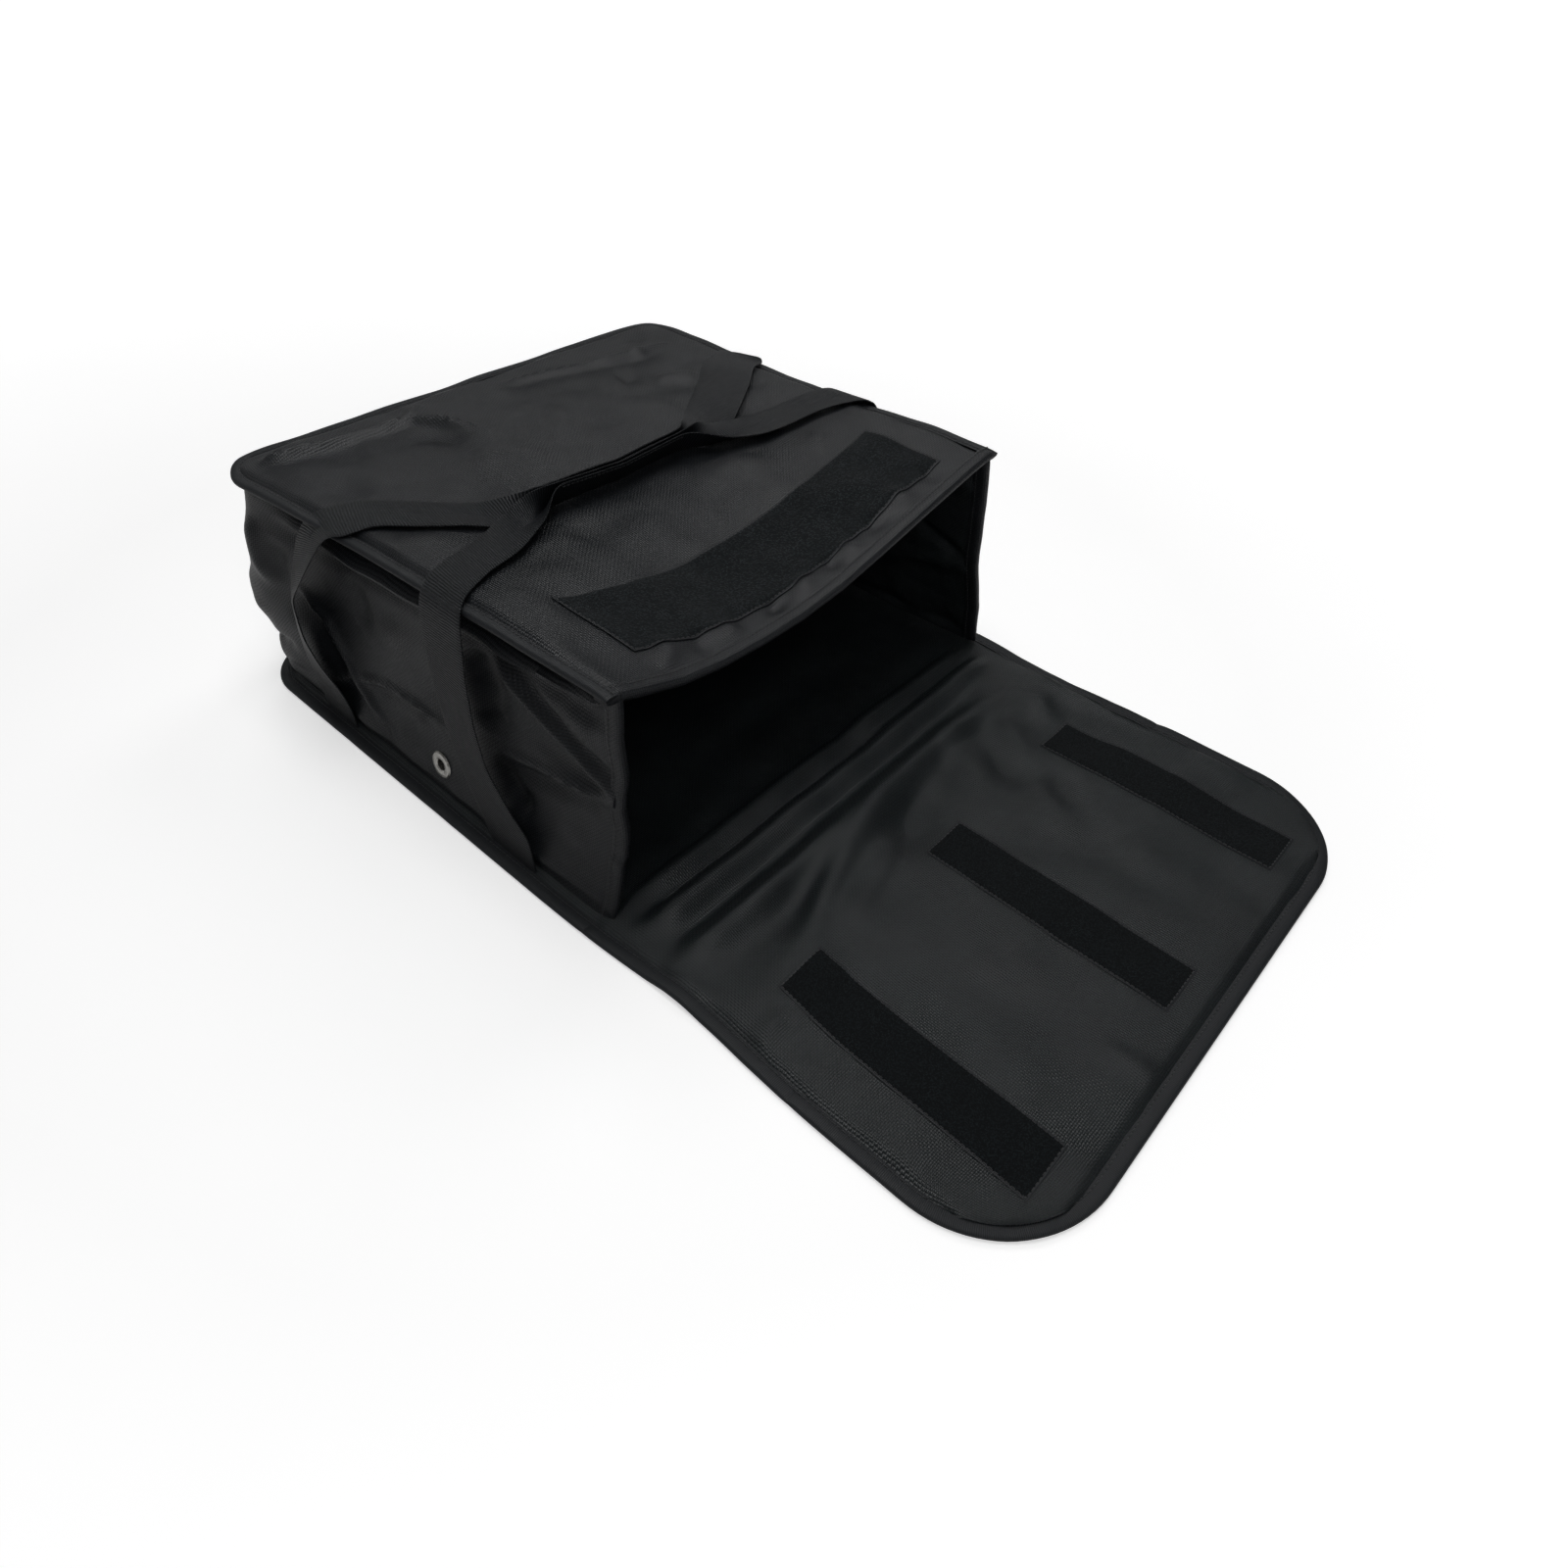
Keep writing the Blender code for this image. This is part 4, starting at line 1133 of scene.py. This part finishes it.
def wall_place(run, share, inset, extra=0.0):
    """Points of the wall strip, from a length round it, a share of its height and an inset."""
    x, d, nx, nd = (np.interp(run, foot_run, column) for column in foot.T)
    length = np.hypot(nx, nd)
    nx, nd = nx / length, nd / length
    along = np.clip((d - foot_depth + foot_radius) / bulge_ramp + 1, 0.0, 1.0)
    bulge = back_bulge * np.sin(math.pi * share) * smooth(along)
    x = x * lerp(foot_half, top_half(d) - wall_top_inset, lean(share)) / foot_half
    d_in = (foot_depth - top_depth + wall_top_inset) * lean(share) * d / foot_depth
    rise = edge_rise(np.sign(x) * top_half(d), d)
    high = top_level(d) - panel_thickness - touch_gap + rise + wall_top_gap
    height = lerp(wall_low, high, share)
    below = high - height
    at_left, at_right = (table_value(height, mouth_z, values) for values in (mouth_left, mouth_right))
    mouth = np.where(x < 0, at_left, at_right) * (1 - smooth(d / mouth_reach))
    from_vent = np.hypot(d - vent_depth, height - vent_height)
    round_vent = 1 - np.exp(-(from_vent / vent_calm) ** 4)
    folds = fold_height(run, height, wall_folds) + uneven(run, height * 1.5, **wall_uneven)
    near = smooth(d / mouth_ramp)
    beside = near * (1 - smooth((d - roll_end) / roll_fade))
    roll_below = lerp(roll_front_below, roll_back_below, smooth(d / roll_settle))
    roll = bell(below, roll_height, roll_below, roll_width) * beside
    roll = roll * (roll_share + uneven(run, run * 0, **roll_uneven))
    roll = roll + bell(below, *groove) * beside * smooth((d - groove_start) / groove_fade)
    folds = folds + bell(below, *tuck) * beside + bell(height, *foot_roll) * near + extra
    ends = smooth(share / foot_end_share) * smooth((1 - share) / top_end_share)
    ends = ends * lerp(mouth_fold_share, 1.0, smooth(d / mouth_fold_reach))
    out = bulge + mouth + folds * round_vent * ends + roll - inset
    skew = back_skew(x, d) * lean(share)
    return np.stack([x + nx * out, to_y(d - d_in + nd * out + skew), height], -1)


def cut_vents(made):
    """Opens the two vent holes through a wall piece."""
    for side, hand in ((-1, "left"), (1, "right")):
        low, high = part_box(f"vent_eyelet_{hand}")
        tilt = math.radians(90 - wall_slope * side)
        bpy.ops.mesh.primitive_cylinder_add(
            vertices=vent_sides, radius=vent_hole_radius, depth=vent_cut_length,
            location=(Vector(low) + Vector(high)) / 2, rotation=(0.0, tilt, 0.0))
        cutter = bpy.context.object
        hole = made.modifiers.new("vent", "BOOLEAN")
        hole.operation = "DIFFERENCE"
        hole.solver = "EXACT"
        hole.object = cutter
        bpy.context.view_layer.objects.active = made
        bpy.ops.object.modifier_apply(modifier=hole.name)
        bpy.data.objects.remove(cutter, do_unlink=True)


def build_wall_pad():
    start, end = hem_width - hem_lap, strip_length - hem_width + hem_lap
    run = np.linspace(start, end, steps_over(end - start, wall_cell) + 1)
    run, share = np.meshgrid(run, np.linspace(0.0, 1.0, wall_share_count))
    mouth = np.minimum(run, strip_length - run)
    squeeze = hem_squeeze * squeezed(mouth, hem_width, wall_hem_overlap, wall_squeeze_reach)
    outer = wall_place(run, share, squeeze)
    inner_folds = uneven(run, share * wall_uv_height, **wall_inner_uneven)
    inner = wall_place(run, share, panel_thickness - squeeze, inner_folds)
    made = pad("wall_pad", outer, inner, np.stack([run, share * wall_uv_height], -1), [cover, lining])
    cut_vents(made)
    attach(made, "bag")
    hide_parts("wall_cover", "wall_foam_left", "wall_foam_back", "wall_foam_right", "wall_lining")


def build_mouth_hems():
    for place, hand in ((0.0, "left"), (strip_length, "right")):
        run, share = np.full(hem_count, place), np.linspace(0.0, 1.0, hem_count)
        middle = wall_place(run, share, panel_thickness / 2)
        up = unit(wall_place(run, share, panel_thickness / 2 - hem_probe) - middle)
        inward = np.tile([0.0, 1.0, 0.0], (hem_count, 1))
        hem = wrap(f"mouth_side_hem_{hand}", middle, inward, up, hem_width, hem_thickness, [cover, thread],
                   hem_row)
        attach(hem, "bag")
        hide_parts(f"mouth_hem_{hand}")


# Handles
place_columns = (0, 3, 6)
grip_shift = -0.016             # how far the grips lie to the left of the bag's middle
grip_half = 0.10
grip_fade = 0.11
grip_sewn_half = 0.066
arm_points = 9
bend_points = 7
bend_slack = 0.0003
outward_share = 0.15
strap_step = 0.0028
strap_rounds = 10
strap_edge_share = 0.55
strap_uv_gap = 0.06
# Stations up the wall, in millimetres out, back and up: back edge, middle where it is bent, front edge
front_wall_part = [
    (242.2, 136, 3.5, 242.2, 80.5, 3.5),
    (242.2, 140, 22, 242.4, 80.5, 26),
    (242, 145, 32, 242.4, 81, 43),
    (240.5, 156, 50, 241.2, 99, 53),
    (237.5, 171, 85, 238.5, 126, 83),
    (234.5, 180, 124, 235.5, 135, 118),
    (232.5, 182, 164, 232, 137, 160),
    (230, 181.5, 192, 229, 135, 191),
    (226.5, 181, 208.5, 227, 134.5, 209),
    (218.5, 184, 214, 220.5, 139, 215),
]
back_wall_part = [
    (242.2, 377, 3.5, 242.2, 328, 3.5),
    (242.5, 377, 24, 243, 327.5, 27),
    (242.5, 380, 40, 245.5, 331, 48),
    (243, 383, 56, 250.5, 340, 68),
    (242.5, 383, 80, 255, 343, 100),
    (242, 375, 116, 256, 335, 142),
    (241, 364, 140, 252, 318, 164),
    (238, 353, 162, 244, 305, 185),
    (233, 344, 185, 237, 293, 203),
    (224, 333, 206, 233, 282, 212),
]
# Stations over the top panel, in millimetres out, back and above the panel
front_top_part = [
    (203, 190.5, 2.2, 210, 145.5, 3.6),
    (183, 195.5, 2.4, 193, 152, 4.4),
    (162, 200.5, 2.6, 174.5, 158.5, 5),
    (140, 207, 3, 151, 164, 5.5),
    (120, 214.5, 5, 124, 190, 4.8, 130, 169, 7),
    (106, 216, 9.5, 108, 194.5, 3.6, 111, 177, 9),
    (95, 215, 16, 95, 200, 2.5, 97.5, 182, 12),
    (85, 210, 21.5, 84.5, 207, 2, 87, 189, 16.5),
    (77, 206.5, 23.8, 76.5, 213.5, 1.8, 78, 197.5, 20.5),
    (70, 205, 24.1, 70, 215.5, 1.8, 70, 202.8, 22.8),
    (30, 204.5, 23.8, 30, 216, 1.6, 30, 202.3, 22.5),
    (0, 204.5, 23.8, 0, 216, 1.6, 0, 202.3, 22.5),
]
back_top_part = [
    (210, 320, 2, 227, 275, 3),
    (183, 313, 1.8, 205, 268, 3.4),
    (160, 290.5, 1.8, 176, 243, 4),
    (130, 266, 2, 143, 219, 4.8),
    (112, 250, 3, 116, 227, 1.8, 122, 206, 1.8),
    (98, 240, 5.5, 100, 225, 2, 103, 210, 2),
    (86, 229, 11.5, 87, 223, 1.6, 88.5, 214, 10),
    (76, 216, 19.5, 76.5, 223.5, 1.5, 77, 212, 18),
    (68, 212.8, 21.2, 68, 224.3, 1.5, 68, 210.3, 20),
    (30, 212.2, 21.2, 30, 224.5, 1.5, 30, 210, 20),
    (0, 212.2, 21.2, 0, 224.5, 1.5, 0, 210, 20),
]
# How far out the right straps reach at most, as heights and places, in millimetres
right_cap_z = [30, 50, 85, 124, 164, 192, 208.5]
right_cap_out = [242.5, 241.2, 238.5, 235.5, 233, 230, 226.8]


def stations(table):
    """Stations of the webbing in metres: the places of its back edge, its middle and its front edge."""
    rows = [(*row[:3], *(row[3:-3] or (np.add(row[:3], row[3:]) / 2)), *row[-3:]) for row in table]
    return np.array(rows) * mm


def ribbon(rows, outward):
    """Centre points and outer normals of a webbing's sections.

    Its two halves run straight from each edge to a round bend along its middle.
    """
    back, middle, front = (rows[:, column:column + 3] for column in place_columns)
    bend = strap_thickness / 2 + bend_slack
    to_back, to_front = unit(back - middle), unit(front - middle)
    across = unit(to_back - to_front)
    rise = to_back + to_front + outward_share * outward
    rise -= across * (rise * across).sum(1)[:, None]
    rise = unit(rise)

    def flat_place(offset):
        return (offset * across).sum(1), (offset * rise).sum(1) - bend

    back_u, back_v = flat_place(back - middle)
    front_u, front_v = flat_place(front - middle)
    back_reach = np.arccos(np.clip(bend / np.hypot(back_u, back_v), -1, 1))
    front_reach = np.arccos(np.clip(bend / np.hypot(front_u, front_v), -1, 1))
    first = np.arctan2(back_v, back_u) - back_reach
    second = np.arctan2(front_v, front_u)
    second = np.where(second > 0, second - math.tau, second) + front_reach
    angles = lerp(first[:, None], second[:, None], np.linspace(0.0, 1.0, bend_points))
    arm = np.linspace(0.0, 1.0, arm_points, endpoint=False)

    def with_arms(start, turn, end):
        return np.concatenate([lerp(start[:, None], turn[:, :1], arm), turn,
                               lerp(end[:, None], turn[:, -1:], arm)[:, ::-1]], 1)

    u = with_arms(back_u, bend * np.cos(angles), front_u)
    v = with_arms(back_v, bend * np.sin(angles), front_v)
    angles = with_arms(angles[:, 0], angles, angles[:, -1])
    centre = middle[:, None] + u[..., None] * across[:, None] + (v + bend)[..., None] * rise[:, None]
    normal = np.cos(angles)[..., None] * across[:, None] + np.sin(angles)[..., None] * rise[:, None]
    return centre, normal


def strap_rows(wall_part, top_part, side):
    """Stations of one half of a handle, with the ways that its outer face looks."""
    wall, top = stations(wall_part), stations(top_part)
    for column in place_columns:
        if side > 0:
            cap = table_value(wall[:, column + 2], right_cap_z, right_cap_out)
            wall[:, column] = np.minimum(wall[:, column], cap)
        for table in (wall, top):
            x = table[:, column].copy()
            table[:, column] = side * x + grip_shift * (1 - smooth((x - grip_half) / grip_fade))
        top[:, column + 2] += top_surface(top[:, column], top[:, column + 1])
    outward = np.concatenate([np.tile([side, 0.0, 0.0], (len(wall), 1)), all_up(len(top))])
    rows = np.concatenate([wall, top])
    rows[:, 1::3] = to_y(rows[:, 1::3])
    run = arc_lengths(rows[:, 3:6])
    places = np.linspace(0.0, run[-1], steps_over(run[-1], strap_step) + 1)
    return soften(at_places(places, run, np.concatenate([rows, outward], 1)), strap_rounds)


def strap(name, wall_part, top_part, side, replaced):
    """One half of a handle: from the base seam, up the wall and over the top to its grip's middle."""
    rows = strap_rows(wall_part, top_part, side)
    centre, normal = ribbon(rows[:, :9], rows[:, 9:])
    half = np.full(centre.shape[1], strap_thickness / 2)
    half[[0, -1]] *= strap_edge_share
    outer = centre + normal * half[:, None]
    inner = centre - normal * half[:, None]
    sections = np.concatenate([outer, inner[:, ::-1]], axis=1)
    width = arc_lengths(centre[0]) * strap_width / arc_lengths(centre[0])[-1]
    cross = np.concatenate([width, width[::-1] + strap_uv_gap])
    run = arc_lengths(centre[:, arm_points + bend_points // 2])
    parts = [(lambda start: tube(sections, run, cross, start), 0)]
    sewn = np.abs(centre[:, 0, 0] - grip_shift) < grip_sewn_half
    for row in (1, -2):
        up = normal[sewn, row]
        line = outer[sewn, row] + up * thread_lift
        parts.append((lambda start, line=line, up=up: stitches(line, up, start), 1))
    made = join_parts(name, parts, [webbing, thread], 60)
    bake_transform(made)
    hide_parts(*replaced)


def build_straps():
    for side, hand in ((-1, "left"), (1, "right")):
        for place, wall_part, top_part in (("front", front_wall_part, front_top_part),
                                           ("back", back_wall_part, back_top_part)):
            replaced = [f"{place}_strap_leg_{hand}"] + ([f"{place}_handle"] if side < 0 else [])
            strap(f"{place}_strap_{hand}", wall_part, top_part, side, replaced)


# Eyelets
def finish_eyelets():
    for hand in ("left", "right"):
        for node in (f"vent_eyelet_{hand}", f"vent_washer_{hand}"):
            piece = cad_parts[node]
            for slot in piece.material_slots:
                slot.material = nickel


# Stage, light and camera
floor_glow = 0.45               # the floor's own white near the bag, seen by the camera alone
glow_near = 0.6
glow_far = 2.5
floor_size = 30.0
floor_level = -0.0002
sky_light = 0.055
backdrop_light = 0.25           # the pale backdrop behind the bag
# The lamps: place, target, size across and power
lamps = {
    "overhead": ((0.0, -0.1, 2.4), (0.0, -0.1, 0.1), 1.2, 19.0),
    "right": ((1.30, 0.28, 1.75), (0.0, -0.3, 0.0), 0.8, 5.0),
    "back": ((0.7, 1.3, 2.2), (0.0, 0.0, 0.1), 0.8, 7.0),
    "front": ((-0.95, -1.55, 1.75), (0.0, -0.1, 0.1), 1.0, 12.0),
}
camera_place = (-0.5124, -0.6379, 0.6185)
camera_azimuth = -49.51
camera_elevation = 44.54
camera_roll = 1.83
camera_lens = 23.719
camera_sensor = 36.0


def build_stage():
    n = Nodes("studio_floor")
    place = n.add("ShaderNodeTexCoord").outputs["Object"]
    grain = n.ramp(n.noise(place, 3.0), 0.3, 0.7)
    far = n.add("ShaderNodeVectorMath", operation="LENGTH")
    n.plug(place, far.inputs[0])
    away = n.ramp(far.outputs["Value"], glow_near, glow_far, floor_glow, 1.0)
    n.set("Base Color", n.mix(grain, (0.80, 0.80, 0.80), (0.82, 0.82, 0.82)))
    n.set("Roughness", 0.9)
    n.set("Specular IOR Level", 0.1)
    glow = n.add("ShaderNodeEmission")
    n.plug(n.times(n.add("ShaderNodeLightPath").outputs["Is Camera Ray"], away), glow.inputs["Strength"])
    both = n.add("ShaderNodeAddShader")
    n.plug(n.shader.outputs[0], both.inputs[0])
    n.plug(glow.outputs[0], both.inputs[1])
    n.plug(both.outputs[0], n.tree.nodes["Material Output"].inputs["Surface"])
    bpy.ops.mesh.primitive_plane_add(size=floor_size, location=(0.0, 0.0, floor_level))
    floor = bpy.context.object
    floor.name = "studio_floor"
    floor.data.materials.append(n.material)


def build_sky():
    """An even sky with a pale backdrop, and plain white where the camera sees it."""
    world = bpy.data.worlds.new("studio")
    bpy.context.scene.world = world
    world.use_nodes = True
    nodes, links = world.node_tree.nodes, world.node_tree.links

    def add(kind, values=(), **settings):
        node = nodes.new(kind)
        for key, value in settings.items():
            setattr(node, key, value)
        for key, value in values:
            if isinstance(value, bpy.types.NodeSocket):
                links.new(value, node.inputs[key])
            else:
                node.inputs[key].default_value = value
        return node

    path = add("ShaderNodeLightPath").outputs
    seen = add("ShaderNodeMath", ((0, path["Is Camera Ray"]), (1, path["Is Transmission Ray"])),
               operation="MAXIMUM")
    heading = add("ShaderNodeSeparateXYZ", ((0, add("ShaderNodeTexCoord").outputs["Generated"]),)).outputs
    behind = add("ShaderNodeMapRange", (("Value", heading["Y"]), ("From Min", -0.05), ("From Max", 0.55),
                                        ("To Min", 0.0), ("To Max", 1.0)))
    under = add("ShaderNodeMapRange", (("Value", heading["Z"]), ("From Min", 0.26), ("From Max", 0.50),
                                       ("To Min", 1.0), ("To Max", 0.0)))
    both = add("ShaderNodeMath", ((0, behind.outputs[0]), (1, under.outputs[0])), operation="MULTIPLY")
    glow = add("ShaderNodeMath", ((0, both.outputs[0]), (1, backdrop_light), (2, sky_light)),
               operation="MULTIPLY_ADD")
    strength = add("ShaderNodeMapRange", (("Value", seen.outputs[0]), ("To Min", glow.outputs[0]),
                                          ("To Max", 1.0)))
    nodes["Background"].inputs["Color"].default_value = (1.0, 1.0, 1.0, 1.0)
    links.new(strength.outputs[0], nodes["Background"].inputs["Strength"])


def build_lamps():
    for name, (place, target, size, power) in lamps.items():
        lamp = bpy.data.lights.new(name, "AREA")
        lamp.shape = "DISK"
        lamp.size = size
        lamp.energy = power
        made = bpy.data.objects.new(name, lamp)
        made.location = place
        made.rotation_mode = "QUATERNION"
        made.rotation_quaternion = (Vector(target) - Vector(place)).to_track_quat("-Z", "Y")
        bpy.context.scene.collection.objects.link(made)


def build_camera():
    camera = bpy.data.cameras.new("photo_view")
    camera.sensor_width = camera_sensor
    camera.lens = camera_lens
    made = bpy.data.objects.new("photo_view", camera)
    turns = (camera_azimuth, camera_elevation, camera_roll)
    azimuth, elevation, roll = (math.radians(turn) for turn in turns)
    back = Vector((math.sin(azimuth) * math.cos(elevation), -math.cos(azimuth) * math.cos(elevation),
                   math.sin(elevation)))
    right = Vector((0.0, 0.0, 1.0)).cross(back).normalized()
    up = back.cross(right)
    rolled_right = math.cos(roll) * right + math.sin(roll) * up
    rolled_up = math.cos(roll) * up - math.sin(roll) * right
    turn = Matrix((rolled_right, rolled_up, back)).transposed().to_4x4()
    made.matrix_world = Matrix.Translation(camera_place) @ turn
    bpy.context.scene.collection.objects.link(made)
    bpy.context.scene.camera = made
    bpy.context.scene.view_settings.view_transform = "Standard"


build_camera()
build_sky()
build_lamps()
build_stage()
build_floor_pads()
build_floor_tapes()
build_wall_pad()
build_mouth_hems()
build_top_pad()
build_top_edges()
build_hook_strips()
build_loop_strip()
build_straps()
finish_eyelets()
